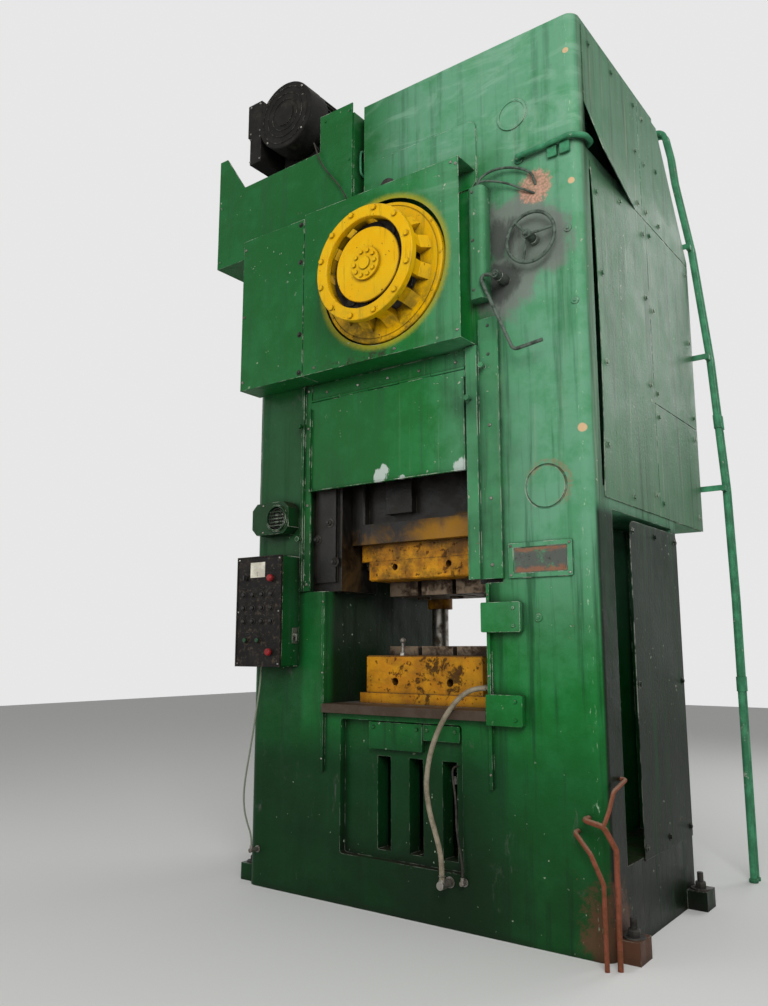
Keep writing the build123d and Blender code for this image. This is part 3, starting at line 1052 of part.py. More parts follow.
with BuildPart() as right_covers_lower:
    with BuildSketch(side_plane(COVER_X)) as bowed:
        with BuildLine():
            Polyline(MID_COVER_FRONT[2], (COVER_SEAM_Y, COVER_SEAM_Z - SEAM_GAP),
                     (COVER_SEAM_Y, COVER_BOTTOM), MID_COVER_FRONT[0])
            Spline(*MID_COVER_FRONT)
        make_face()
    extrude(bowed.sketch, amount=SHEET)
    cover((COVER_SEAM_Y + SEAM_GAP, HOUSING_REAR), (LOWER_SEAM_Z + SEAM_GAP, COVER_SEAM_Z - SEAM_GAP))
    cover((COVER_SEAM_Y + SEAM_GAP, HOUSING_REAR), (COVER_BOTTOM, LOWER_SEAM_Z))
    cover((-200.0, 640.0), (400.0, BASE_COVER_TOP))
    base_corners = right_covers_lower.edges().filter_by(Axis.X)
    fillet(base_corners.filter_by_position(Axis.Z, BASE_COVER_TOP - 5, BASE_COVER_TOP + 5), 60)
right_covers_lower.part.label = "right_covers_lower"
export_step(right_covers_lower.part, "parts/right_covers_lower.step")

with BuildPart() as left_covers:
    cover((CONSOLE_REAR + 20, HOUSING_REAR), (LEFT_SEAM_Z, HOUSING_TOP), -1)
    cover((-660.0, COVER_SEAM_Y), (COVER_BOTTOM, LEFT_SEAM_Z - SEAM_GAP), -1)
    cover((COVER_SEAM_Y + SEAM_GAP, HOUSING_REAR), (COVER_BOTTOM, LEFT_SEAM_Z - SEAM_GAP), -1)
    cover((-520.0, 640.0), (400.0, 2360.0), -1)
left_covers.part.label = "left_covers"
export_step(left_covers.part, "parts/left_covers.step")

# Two blocks beside the window's right rail
HINGE_BLOCKS = (((590.0, 840.0), (1645.0, 1814.0)), ((WINDOW_HALF + 2, 840.0), (1130.0, 1300.0)))
BLOCK_OUT = 52.0
with BuildPart() as hinge_blocks:
    for x, z in HINGE_BLOCKS:
        plate(x, z, FRONT - BLOCK_OUT, BLOCK_OUT - RAIL_T - SEAT, 10)
        block((WINDOW_HALF + RAIL_W + 3, x[1] - 5), (FRONT - RAIL_T - 1, STRIP_BACK), (z[0] + 5, z[1] - 5))
hinge_blocks.part.label = "hinge_blocks"
export_step(hinge_blocks.part, "parts/hinge_blocks.step")

# Handwheel with three spokes that lean out to its hub, on its spindle
WHEEL_R = 165.0
WHEEL_RIM_R = 11.0
WHEEL_Y = FRONT - 58.0
HUB_Y = FRONT - 104.0
SPOKES = 3
with BuildPart() as handwheel:
    barrel((HUB_Y - 8, FRONT + 50), *HANDWHEEL, SPINDLE_R)
    barrel((HUB_Y, FRONT - WHEEL_BOSS_OUT - 3), *HANDWHEEL, 27)
    wheel_mid = (HANDWHEEL[0], WHEEL_Y, HANDWHEEL[1])
    with BuildSketch(Plane(origin=wheel_mid, x_dir=(1, 0, 0), z_dir=(0, 0, 1))) as rim:
        with Locations((WHEEL_R - WHEEL_RIM_R, 0)):
            Circle(WHEEL_RIM_R)
    revolve(rim.sketch, axis=Axis(wheel_mid, (0, 1, 0)))
    inner = ring_of(SPOKES, 15, *HANDWHEEL, 10)
    outer = ring_of(SPOKES, WHEEL_R - WHEEL_RIM_R, *HANDWHEEL, 10)
    for (x0, z0), (x1, z1) in zip(inner, outer):
        with BuildLine() as spoke:
            Line((x0, HUB_Y + 14, z0), (x1, WHEEL_Y, z1))
        with BuildSketch(Plane(origin=spoke.line @ 0, z_dir=spoke.line % 0)) as section:
            Circle(8)
        sweep(section.sketch, path=spoke.line)
handwheel.part.label = "handwheel"
export_step(handwheel.part, "parts/handwheel.step")

# Bent lever on the front face: hub, long leg and grip from one bar
LEVER_Y = FRONT - 108.0
LEVER_BAR_R = 11.0
LEVER_POINTS = ((652.0, 3778.0), (873.0, 3257.0), (1058.0, 3279.0))
with BuildPart() as valve_lever:
    barrel((LEVER_Y - 18, FRONT + 50), *LEVER_PIVOT, SPINDLE_R)
    barrel((LEVER_Y - 22, FRONT - BOSS_OUT - 2), *LEVER_PIVOT, 24)
    bar = [(x, LEVER_Y, z) for x, z in (LEVER_PIVOT,) + LEVER_POINTS]
    tube(bar, LEVER_BAR_R, [26.0, 40.0])
valve_lever.part.label = "valve_lever"
export_step(valve_lever.part, "parts/valve_lever.step")

# Control box on the left upright: shell, black front panel with its lamps, and the actuators
BOX_WALL = 4.0
BOX_FRONT = PANEL_FRONT + PANEL_T + SEAT
STEM_R = 9.0
COLLAR_OUT = 8.0
STOPS = ((-937.0, 2021.0), (-941.0, 1532.0))
STARTS = ((-1165.0, 1610.0), (-1050.0, 1610.0))
SELECTOR = (-1175.0, 2030.0)
LAMP_COLUMNS = (-1195.0, -1110.0, -1025.0, -940.0)
LAMP_ROWS = (1915.0, 1825.0, 1735.0)
with BuildPart() as control_box:
    block((PANEL_LEFT, PANEL_RIGHT), (BOX_FRONT, STRIP_BACK), (PANEL_BOTTOM, PANEL_TOP))
    fillet(control_box.edges().filter_by(Axis.Y), 14)
    block((PANEL_LEFT + BOX_WALL, PANEL_RIGHT - BOX_WALL), (BOX_FRONT - 1, STRIP_BACK - BOX_WALL),
          (PANEL_BOTTOM + BOX_WALL, PANEL_TOP - BOX_WALL), Mode.SUBTRACT)
control_box.part.label = "control_box"
export_step(control_box.part, "parts/control_box.step")

with BuildPart() as control_panel:
    plate((PANEL_LEFT, PANEL_RIGHT), (PANEL_BOTTOM, PANEL_TOP), PANEL_FRONT, PANEL_T, 14)
    for x in LAMP_COLUMNS:
        for z in LAMP_ROWS:
            barrel((PANEL_FRONT - 14, PANEL_FRONT + 1), x, z, 15)
    for x, z in STOPS + STARTS + (SELECTOR,):
        barrel((PANEL_FRONT - COLLAR_OUT, PANEL_FRONT + 1), x, z, 20)
        barrel((PANEL_FRONT - COLLAR_OUT - 1, PANEL_FRONT + PANEL_T + 1), x, z, STEM_R + RUNNING,
               Mode.SUBTRACT)
control_panel.part.label = "control_panel"
export_step(control_panel.part, "parts/control_panel.step")

STEM_END = PANEL_FRONT + 50.0
CAP_BACK = PANEL_FRONT - COLLAR_OUT - BUTTON_TRAVEL - SEAT
for (x, z), name in zip(STOPS, ("stop_button_upper", "stop_button_lower")):
    with BuildPart() as stop_button:
        barrel((CAP_BACK - 1, STEM_END), x, z, STEM_R)
        barrel((CAP_BACK - 22, CAP_BACK), x, z, STOP_R)
        fillet(stop_button.faces().sort_by(Axis.Y)[0].edges(), 12)
    stop_button.part.label = name
    export_step(stop_button.part, f"parts/{name}.step")

for (x, z), name in zip(STARTS, ("start_button_left", "start_button_right")):
    with BuildPart() as start_button:
        barrel((CAP_BACK - 1, STEM_END), x, z, STEM_R)
        barrel((CAP_BACK - 10, CAP_BACK), x, z, BUTTON_R)
        chamfer(start_button.faces().sort_by(Axis.Y)[0].edges(), 2)
    start_button.part.label = name
    export_step(start_button.part, f"parts/{name}.step")

with BuildPart() as mode_switch:
    barrel((PANEL_FRONT - COLLAR_OUT - SEAT - 8, STEM_END), *SELECTOR, STEM_R)
    barrel((PANEL_FRONT - COLLAR_OUT - 10, PANEL_FRONT - COLLAR_OUT - SEAT), *SELECTOR, 17)
    block((SELECTOR[0] - 5, SELECTOR[0] + 5), (PANEL_FRONT - COLLAR_OUT - 26, PANEL_FRONT - COLLAR_OUT - 9),
          (SELECTOR[1] - 17, SELECTOR[1] + 17))
mode_switch.part.label = "mode_switch"
export_step(mode_switch.part, "parts/mode_switch.step")

# Signal horn box above the control box, with its round grille
SIGNAL_X = (-1205.0, -865.0)
SIGNAL_Z = (2330.0, 2552.0)
SIGNAL_FRONT = FRONT - 110.0
SIGNAL_CHAMFER = 45.0
GRILLE = (-968.0, 2436.0)
GRILLE_R = 80.0
GRILLE_BARS = (-48, -24, 0, 24, 48)
with BuildPart() as signal_box:
    with BuildSketch(front_plane(STRIP_BACK)) as outline:
        with Locations(((SIGNAL_X[0] + SIGNAL_X[1]) / 2, (SIGNAL_Z[0] + SIGNAL_Z[1]) / 2)):
            Rectangle(SIGNAL_X[1] - SIGNAL_X[0], SIGNAL_Z[1] - SIGNAL_Z[0])
        chamfer(outline.vertices(), SIGNAL_CHAMFER)
    extrude(outline.sketch, amount=STRIP_BACK - SIGNAL_FRONT)
    barrel((SIGNAL_FRONT - 16, SIGNAL_FRONT + 1), *GRILLE, GRILLE_R + 12)
    barrel((SIGNAL_FRONT - 17, SIGNAL_FRONT + 20), *GRILLE, GRILLE_R, Mode.SUBTRACT)
    for step in GRILLE_BARS:
        half = math.sqrt((GRILLE_R + 1)**2 - step**2)
        block((GRILLE[0] - half, GRILLE[0] + half), (SIGNAL_FRONT - 4, SIGNAL_FRONT + 4),
              (GRILLE[1] + step - 4, GRILLE[1] + step + 4))
signal_box.part.label = "signal_box"
export_step(signal_box.part, "parts/signal_box.step")

# Air pipe across the head, round the corner and in behind the bent cover, on two clips
AIR_PIPE_R = 17.0
AIR_Y = FRONT - 38.0
AIR_POINTS = ((SIDE - 390.0, STRIP_BACK, 4500.0), (SIDE - 390.0, AIR_Y, 4500.0), (SIDE - 185.0, AIR_Y, 4508.0),
              (SIDE - 40.0, AIR_Y, 4518.0), (SIDE + 30.0, FRONT + 20.0, 4516.0),
              (SIDE + 30.0, -590.0, 4518.0), (SIDE - 80.0, -500.0, 4530.0))
with BuildPart() as header_pipe:
    tube(AIR_POINTS, AIR_PIPE_R, [19.0, 60.0, 60.0, 60.0, 35.0])
    barrel((FRONT - 8, STRIP_BACK), AIR_POINTS[0][0], AIR_POINTS[0][2], 30)
    for left in (SIDE - 195.0, SIDE - 115.0):
        plate((left, left + 60), (4430.0, 4505.0), FRONT - 22, 22 - SEAT, 6)
header_pipe.part.label = "header_pipe"
export_step(header_pipe.part, "parts/header_pipe.step")

# Pair of pipes from the flywheel bay over the roof and down the right rear corner, on brackets
REAR_PIPE_R = 22.0
REAR_PIPE_Y = (HOUSING_REAR + 80.0, HOUSING_REAR + 145.0)
BAY_PORT_BACK = 220.0
BAY_PORT_Z = HOUSING_TOP - 120.0
REAR_RUN = ((SIDE - 320.0, HOUSING_TOP + 340.0), (SIDE - 140.0, HOUSING_TOP + 380.0),
            (SIDE - 94.0, HOUSING_TOP + 120.0), (SIDE - 75.0, 5200.0), (SIDE + 19.0, 4600.0),
            (SIDE + 105.0, 3700.0), (SIDE + 160.0, 2700.0), (SIDE + 172.0, 1900.0), (SIDE + 170.0, 20.0))
BRACKETS = REAR_RUN[4:7]
with BuildPart() as rear_pipes:
    for y in REAR_PIPE_Y:
        port = y - BAY_PORT_BACK
        run = [(BAY_RIGHT + SEAT, port, BAY_PORT_Z), (BAY_RIGHT + 200.0, port, BAY_PORT_Z)]
        tube(run + [(x, y, z) for x, z in REAR_RUN], REAR_PIPE_R, [150.0, 150.0, 70.0, 150.0] + [300.0] * 5)
        post(REAR_RUN[-1][0], y, (SEAT, 22.0), 30)
        with BuildSketch(side_plane(BAY_RIGHT + SEAT)) as collar:
            with Locations((port, BAY_PORT_Z)):
                Circle(REAR_PIPE_R + 9)
        extrude(collar.sketch, amount=12)
    for x, z in BRACKETS:
        block((SIDE - 110, x + 20), (HOUSING_REAR + SEAT, HOUSING_REAR + 8), (z - 20, z + 20))
        block((x - 14, x + 14), (HOUSING_REAR + 7, REAR_PIPE_Y[1]), (z - 20, z + 20))
rear_pipes.part.label = "rear_pipes"
export_step(rear_pipes.part, "parts/rear_pipes.step")

# Rusty service pipes round the right front foot, and a grey conduit
BASE_PIPES = (
    (((SIDE - 100, STRIP_BACK, 690.0), (SIDE - 100, FRONT - 65, 690.0), (SIDE + 10, FRONT - 75, 670.0),
      (SIDE + 60, FRONT - 45, 560.0), (SIDE + 60, FRONT - 55, 0.5)), 14.0, [30.0, 35.0, 35.0]),
    (((SIDE - 160, STRIP_BACK, 620.0), (SIDE - 160, FRONT - 45, 620.0), (SIDE - 65, FRONT - 75, 530.0),
      (SIDE + 5, FRONT - 90, 400.0), (SIDE + 10, FRONT - 100, 0.5)), 12.0, [25.0, 40.0, 60.0]),
    (((COVER_X, FRONT + 200, 870.0), (SIDE + 32, FRONT + 200, 870.0), (SIDE + 32, FRONT + 20, 830.0),
      (SIDE + 25, FRONT - 35, 740.0), (SIDE + 10, FRONT - 75, 672.0)), 11.0, [22.0, 40.0, 40.0]))
with BuildPart() as base_pipes:
    for points, radius, bends in BASE_PIPES:
        tube(points, radius, bends)
base_pipes.part.label = "base_pipes"
export_step(base_pipes.part, "parts/base_pipes.step")

# Unions low on the front face, where the hose and the two cables end
UNIONS = ((330.0, 250.0, 86.0, 15.0), (428.0, 262.0, 26.0, 6.0), (-1186.0, 235.0, 62.0, 6.0))
UNION_RISE = 30.0
with BuildPart() as hose_unions:
    for x, z, out, bore in UNIONS:
        body = bore + 8
        barrel((FRONT - out - body, STRIP_BACK), x, z, body)
        post(x, FRONT - out, (z, z + UNION_RISE), bore + 5)
        barrel((FRONT - 6, STRIP_BACK), x, z, body + 8)
hose_unions.part.label = "hose_unions"
export_step(hose_unions.part, "parts/hose_unions.step")

# Cords: each a route of hand-placed points with the largest arcs that its runs allow
HOSE_POINTS = ((WINDOW_HALF, -690.0, 1332.0), (530.0, -690.0, 1332.0), (450.0, -716.0, 1300.0),
               (392.0, -768.0, 1222.0), (336.0, -796.0, 1120.0), (287.0, -806.0, 1005.0), (254.0, -808.0, 886.0),
               (242.0, -806.0, 762.0), (260.0, -802.0, 640.0), (296.0, -795.0, 525.0), (324.0, -788.0, 420.0),
               (330.0, FRONT - 86, 345.0), (330.0, FRONT - 86, 250.0 + UNION_RISE))
with BuildPart() as work_hose:
    tube(HOSE_POINTS, 15.0)
work_hose.part.label = "work_hose"
export_step(work_hose.part, "parts/work_hose.step")

LAMP_POINTS = ((360.0, FRONT + BED_RECESS_D, 880.0), (360.0, -686.0, 880.0), (369.0, -721.0, 870.0),
               (382.0, -745.0, 841.0), (394.0, -753.0, 798.0), (402.0, -750.0, 735.0), (404.0, -744.0, 655.0),
               (399.0, -738.0, 575.0), (405.0, -733.0, 495.0), (418.0, -728.0, 420.0), (428.0, FRONT - 26, 350.0),
               (428.0, FRONT - 26, 262.0 + UNION_RISE))
with BuildPart() as lamp_cable:
    tube(LAMP_POINTS, 6.0)
lamp_cable.part.label = "lamp_cable"
export_step(lamp_cable.part, "parts/lamp_cable.step")

CONTROL_POINTS = ((-1098.0, -800.0, PANEL_BOTTOM), (-1098.0, -800.0, 1370.0), (-1106.0, -804.0, 1270.0),
                  (-1122.0, -810.0, 1150.0), (-1140.0, -816.0, 1015.0), (-1162.0, -820.0, 880.0),
                  (-1192.0, -820.0, 745.0), (-1220.0, -812.0, 615.0), (-1232.0, -794.0, 500.0),
                  (-1216.0, -776.0, 405.0), (-1186.0, FRONT - 62, 325.0),
                  (-1186.0, FRONT - 62, 235.0 + UNION_RISE))
with BuildPart() as control_cable:
    tube(CONTROL_POINTS, 6.0)
control_cable.part.label = "control_cable"
export_step(control_cable.part, "parts/control_cable.step")

WIRE_POINTS = ((-850.0, MOTOR_BODY_FRONT + 60, 5274.0), (-850.0, -560.0, 5274.0), (-826.0, -630.0, 5268.0),
               (-788.0, -694.0, 5250.0), (-748.0, -732.0, 5204.0), (-718.0, -738.0, 5130.0),
               (-690.0, -736.0, 5048.0), (-640.0, -734.0, 4966.0), (-576.0, -735.0, 4884.0),
               (-510.0, -738.0, 4800.0), (-456.0, -748.0, 4716.0), (-404.0, -770.0, 4640.0),
               (-404.0, -770.0, GUARD_TOP))
with BuildPart() as motor_wire:
    tube(WIRE_POINTS, 5.0)
motor_wire.part.label = "motor_wire"
export_step(motor_wire.part, "parts/motor_wire.step")
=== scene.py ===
import json
import math
import random

import bmesh
import bpy
from mathutils import Matrix, Vector


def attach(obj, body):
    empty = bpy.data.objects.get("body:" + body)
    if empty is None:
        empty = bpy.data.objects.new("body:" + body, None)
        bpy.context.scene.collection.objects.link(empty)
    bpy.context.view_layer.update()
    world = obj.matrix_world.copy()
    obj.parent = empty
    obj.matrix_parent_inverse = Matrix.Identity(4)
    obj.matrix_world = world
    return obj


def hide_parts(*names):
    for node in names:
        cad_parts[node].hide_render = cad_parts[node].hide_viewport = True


# Looks of the hot forging press. Metres, in the part's own frame: -Y is the front, +X the operator's right.
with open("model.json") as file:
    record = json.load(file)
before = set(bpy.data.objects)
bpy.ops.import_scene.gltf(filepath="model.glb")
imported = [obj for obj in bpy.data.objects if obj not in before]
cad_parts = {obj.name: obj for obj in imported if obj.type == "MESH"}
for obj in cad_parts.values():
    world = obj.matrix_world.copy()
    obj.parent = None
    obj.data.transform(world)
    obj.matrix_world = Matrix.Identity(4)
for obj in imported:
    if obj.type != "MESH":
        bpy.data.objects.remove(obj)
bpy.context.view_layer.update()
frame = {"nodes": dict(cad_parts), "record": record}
node_slots = {part["node"]: part["material_slot"] for part in frame["record"]["subparts"]}

# Planes of the press
FRONT = -0.70
SIDE = 1.28
GUARD_FRONT = -0.91
GUARD_TOP = 4.54
PANEL_FRONT = -0.880
PANEL_BOTTOM = 1.435
SHAFT_Z = 3.93

# Centres on the front face, as x and z
BRAKE = (0.0, 3.939)
HANDWHEEL = (0.978, 3.945)
LEVER = (0.775, 3.745)
RING_BOSS = (1.01, 2.462)
ROD_PATCH = (0.99, 4.285)
HEADER_PLUG = (-0.100, 4.655)
MOTOR = (-1.06, 5.57)

# How far off the surface a fixing's place may lie, and how deep the fixing sits in it
REACH = 0.06
SINK = 0.0005


# Camera and light

def linked(name, data):
    """Object with some data, put into the scene."""
    thing = bpy.data.objects.new(name, data)
    bpy.context.collection.objects.link(thing)
    return thing


def aim(thing, eye, forward):
    """Point a camera or lamp from one place along a direction, with no roll."""
    thing.location = eye
    thing.rotation_euler = Vector(forward).to_track_quat("-Z", "Y").to_euler()


def add_camera(eye, turn, rise, focal, sensor):
    """Camera turned to the left by one angle and up by another, both in degrees."""
    turn, rise = math.radians(turn), math.radians(rise)
    lens = bpy.data.cameras.new("camera")
    lens.lens = focal
    lens.sensor_width = sensor
    camera = linked("camera", lens)
    forward = (-math.sin(turn) * math.cos(rise), math.cos(turn) * math.cos(rise), math.sin(rise))
    aim(camera, eye, forward)
    bpy.context.scene.camera = camera


def add_lamp(name, eye, target, power, size):
    """Square soft lamp that looks at one point."""
    lamp = bpy.data.lights.new(name, "AREA")
    lamp.energy = power
    lamp.size = size
    aim(linked(name, lamp), eye, Vector(target) - Vector(eye))


def add_world(level):
    """Even light of one level, seen as plain white by the camera and in reflections."""
    world = bpy.data.worlds.new("studio")
    bpy.context.scene.world = world
    world.use_nodes = True
    tree = world.node_tree
    tree.nodes.clear()
    out = tree.nodes.new("ShaderNodeOutputWorld")
    background = tree.nodes.new("ShaderNodeBackground")
    rays = tree.nodes.new("ShaderNodeLightPath")
    seen = rays.outputs["Is Camera Ray"]
    for kind in ("Is Glossy Ray", "Is Transmission Ray"):
        either = tree.nodes.new("ShaderNodeMath")
        either.operation = "MAXIMUM"
        tree.links.new(seen, either.inputs[0])
        tree.links.new(rays.outputs[kind], either.inputs[1])
        seen = either.outputs[0]
    strength = tree.nodes.new("ShaderNodeMapRange")
    strength.inputs["To Min"].default_value = level
    strength.inputs["To Max"].default_value = 1.0
    tree.links.new(seen, strength.inputs["Value"])
    tree.links.new(strength.outputs[0], background.inputs["Strength"])
    tree.links.new(background.outputs[0], out.inputs["Surface"])


# Materials: a short language for shader nodes

def srgb(red, green, blue):
    """Colour as it shows on screen, 0 to 255, as a linear RGBA value."""
    linear = []
    for value in (red, green, blue):
        value /= 255
        linear.append(value / 12.92 if value <= 0.04045 else ((value + 0.055) / 1.055) ** 2.4)
    return (*linear, 1.0)


class Shader:
    """Material with one Principled shader. Each call adds a node and gives back its output."""

    def __init__(self, name):
        self.material = bpy.data.materials.new(name)
        self.material.use_nodes = True
        self.tree = self.material.node_tree
        self.tree.nodes.clear()
        self.surface = self.tree.nodes.new("ShaderNodeBsdfPrincipled")
        out = self.tree.nodes.new("ShaderNodeOutputMaterial")
        self.tree.links.new(self.surface.outputs[0], out.inputs["Surface"])
        self.place = self.tree.nodes.new("ShaderNodeTexCoord").outputs["Object"]
        split = self.add("ShaderNodeSeparateXYZ", {0: self.place})
        self.x, self.y, self.z = split.outputs
        geometry = self.tree.nodes.new("ShaderNodeNewGeometry")
        turned = self.add("ShaderNodeSeparateXYZ", {0: geometry.outputs["Normal"]})
        self.up = turned.outputs[2]

    def add(self, kind, inputs, **settings):
        """Node of one kind, with its inputs linked or set."""
        node = self.tree.nodes.new(kind)
        for key, value in settings.items():
            setattr(node, key, value)
        self.wire(node, inputs)
        return node

    def wire(self, node, inputs):
        for key, value in inputs.items():
            if isinstance(value, bpy.types.NodeSocket):
                self.tree.links.new(value, node.inputs[key])
            else:
                node.inputs[key].default_value = value

    def math(self, operation, first, second=0.0):
        return self.add("ShaderNodeMath", {0: first, 1: second}, operation=operation).outputs[0]

    def total(self, first, second):
        return self.math("ADD", first, second)

    def less(self, first, second):
        return self.math("SUBTRACT", first, second)

    def off(self, value):
        """Distance of a value from zero."""
        return self.math("ABSOLUTE", value)

    def product(self, *factors):
        result = factors[0]
        for factor in factors[1:]:
            result = self.math("MULTIPLY", result, factor)
        return result

    def most(self, *values):
        result = values[0]
        for value in values[1:]:
            result = self.math("MAXIMUM", result, value)
        return result

    def step(self, value, low, high):
        """0 below low, 1 above high, smooth between; the other way round if low is the larger."""
        inputs = {"Value": value, "From Min": min(low, high), "From Max": max(low, high),
                  "To Min": float(low > high), "To Max": float(low < high)}
        return self.add("ShaderNodeMapRange", inputs, interpolation_type="SMOOTHSTEP").outputs[0]

    def noise(self, scale, detail, rough, stretch=None, twist=0.0):
        """Cloudy noise. stretch packs it by its own factor on each axis, twist warps it."""
        vector = self.place
        if stretch:
            vector = self.add("ShaderNodeVectorMath", {0: self.place, 1: stretch}, operation="MULTIPLY").outputs[0]
        inputs = {"Vector": vector, "Scale": scale, "Detail": detail, "Roughness": rough, "Distortion": twist}
        return self.add("ShaderNodeTexNoise", inputs).outputs["Fac"]

    def mix(self, factor, first, second):
        """Colour between two colours."""
        return self.add("ShaderNodeMix", {0: factor, 6: first, 7: second}, data_type="RGBA").outputs[2]

    def blend(self, factor, first, second):
        """Number between two numbers."""
        return self.add("ShaderNodeMapRange", {"Value": factor, "To Min": first, "To Max": second}).outputs[0]

    def edges(self, radius):
        """1 along sharp edges, 0 on flat faces."""
        rounded = self.add("ShaderNodeBevel", {"Radius": radius}, samples=4).outputs[0]
        true = self.add("ShaderNodeNewGeometry", {}).outputs["Normal"]
        dot = self.add("ShaderNodeVectorMath", {0: rounded, 1: true}, operation="DOT_PRODUCT").outputs["Value"]
        return self.step(dot, 0.995, 0.90)

    def corners(self, distance):
        """1 in corners and crevices, where shade falls, 0 in the open."""
        node = self.add("ShaderNodeAmbientOcclusion", {"Distance": distance}, samples=6)
        return self.step(node.outputs["AO"], 0.85, 0.35)

    def near(self, x, z, inner, outer):
        """1 within inner of a point of the front face, 0 beyond outer."""
        dx = self.less(self.x, x)
        dz = self.less(self.z, z)
        square = self.total(self.product(dx, dx), self.product(dz, dz))
        return self.step(self.math("SQRT", square), outer, inner)

    def ring(self, x, z, radius, width):
        """1 on a ring of the front face, 0 off it."""
        within = self.near(x, z, radius + width * 0.5, radius + width)
        hole = self.near(x, z, radius - width, radius - width * 0.5)
        return self.product(within, self.less(1.0, hole))

    def finish(self, colour, rough, metal=0.0, bump=None, bump_depth=0.001, edge_radius=0.0, specular=0.3):
        """Wire up the shader. edge_radius softens the edges of the solids in the light."""
        inputs = {"Base Color": colour, "Roughness": rough, "Metallic": metal, "Specular IOR Level": specular}
        normal = {}
        if edge_radius:
            normal = {"Normal": self.add("ShaderNodeBevel", {"Radius": edge_radius}, samples=4).outputs[0]}
        if bump is not None:
            bumped = {"Height": bump, "Distance": bump_depth, "Strength": 1.0, **normal}
            normal = {"Normal": self.add("ShaderNodeBump", bumped).outputs[0]}
        self.wire(self.surface, {**inputs, **normal})
        return self.material


DEEP_GREEN = srgb(24, 106, 44)
LIT_GREEN = srgb(40, 130, 70)
DUSTY_GREEN = srgb(102, 156, 124)
OLD_GREEN = srgb(18, 58, 30)
SHADE_GREEN = srgb(12, 36, 19)
# Dark grease, also the colour of painted shade in corners, low down and on the horn's box
GREASE_AND_SHADE = srgb(20, 19, 16)
GRIME = srgb(52, 46, 36)
PRIMER = srgb(204, 208, 192)
RUST = srgb(104, 58, 32)
RUST_PALE = srgb(150, 96, 64)
YELLOW = srgb(226, 172, 0)
ORANGE = srgb(196, 128, 14)


def enamel_tones(s, casting, patches):
    """Green of the enamel before it was soiled, with painted shade low down and on the left, and with where it is
    dusty and that place with a ragged edge.
    """
    # Dust settles high up and towards the right, where the paint has gone teal
    eastern = s.step(s.x, 0.30, 1.0) if casting else s.product(s.step(s.x, 0.0, 0.5), 0.62)
    right = s.product(eastern, s.step(s.z, 0.9, 2.4))
    head = s.product(s.step(s.z, 4.25, 4.85), s.step(s.x, -0.6, 0.2))
    dusty = s.most(right, head)
    wander = s.total(dusty, s.blend(patches, -0.40, 0.40))
    colour = s.mix(s.step(wander, 0.15, 1.05), DEEP_GREEN, DUSTY_GREEN)
    colour = s.mix(s.product(s.step(patches, 0.42, 0.66), 0.45), colour, LIT_GREEN)
    # Painted shade: darker towards the floor, on the left upright and towards the left
    low = s.product(s.step(s.z, 1.30, 0.80), s.blend(s.step(s.x, 0.45, 0.95), 0.84, 0.36))
    left = s.product(s.step(s.x, -0.76, -0.84), s.step(s.z, 3.40, 3.30), 0.64)
    west = s.product(s.step(s.x, 0.35, -0.45), 0.30)
    return s.mix(s.most(low, left, west), colour, SHADE_GREEN), dusty, wander


def die_space_soot(s, colour):
    """Oil and soot round the die space, and grime and painted shade low on the bed."""
    broad = s.noise(0.9, 5, 0.6)
    space = s.product(s.step(s.off(s.x), 1.05, 0.60), s.step(s.z, 0.85, 1.2), s.step(s.z, 3.5, 3.1),
                      s.step(s.y, 0.695, 0.66))
    inside = s.step(s.y, FRONT + 0.01, FRONT + 0.10)
    soot = s.most(s.product(space, s.step(broad, 0.46, 0.66), 0.6), s.product(space, inside, 0.86))
    # Grime and painted shade towards the floor
    low = s.product(s.step(s.z, 1.15, 0.1), s.step(broad, 0.38, 0.62), 0.55)
    return s.mix(s.most(soot, low), colour, GREASE_AND_SHADE)


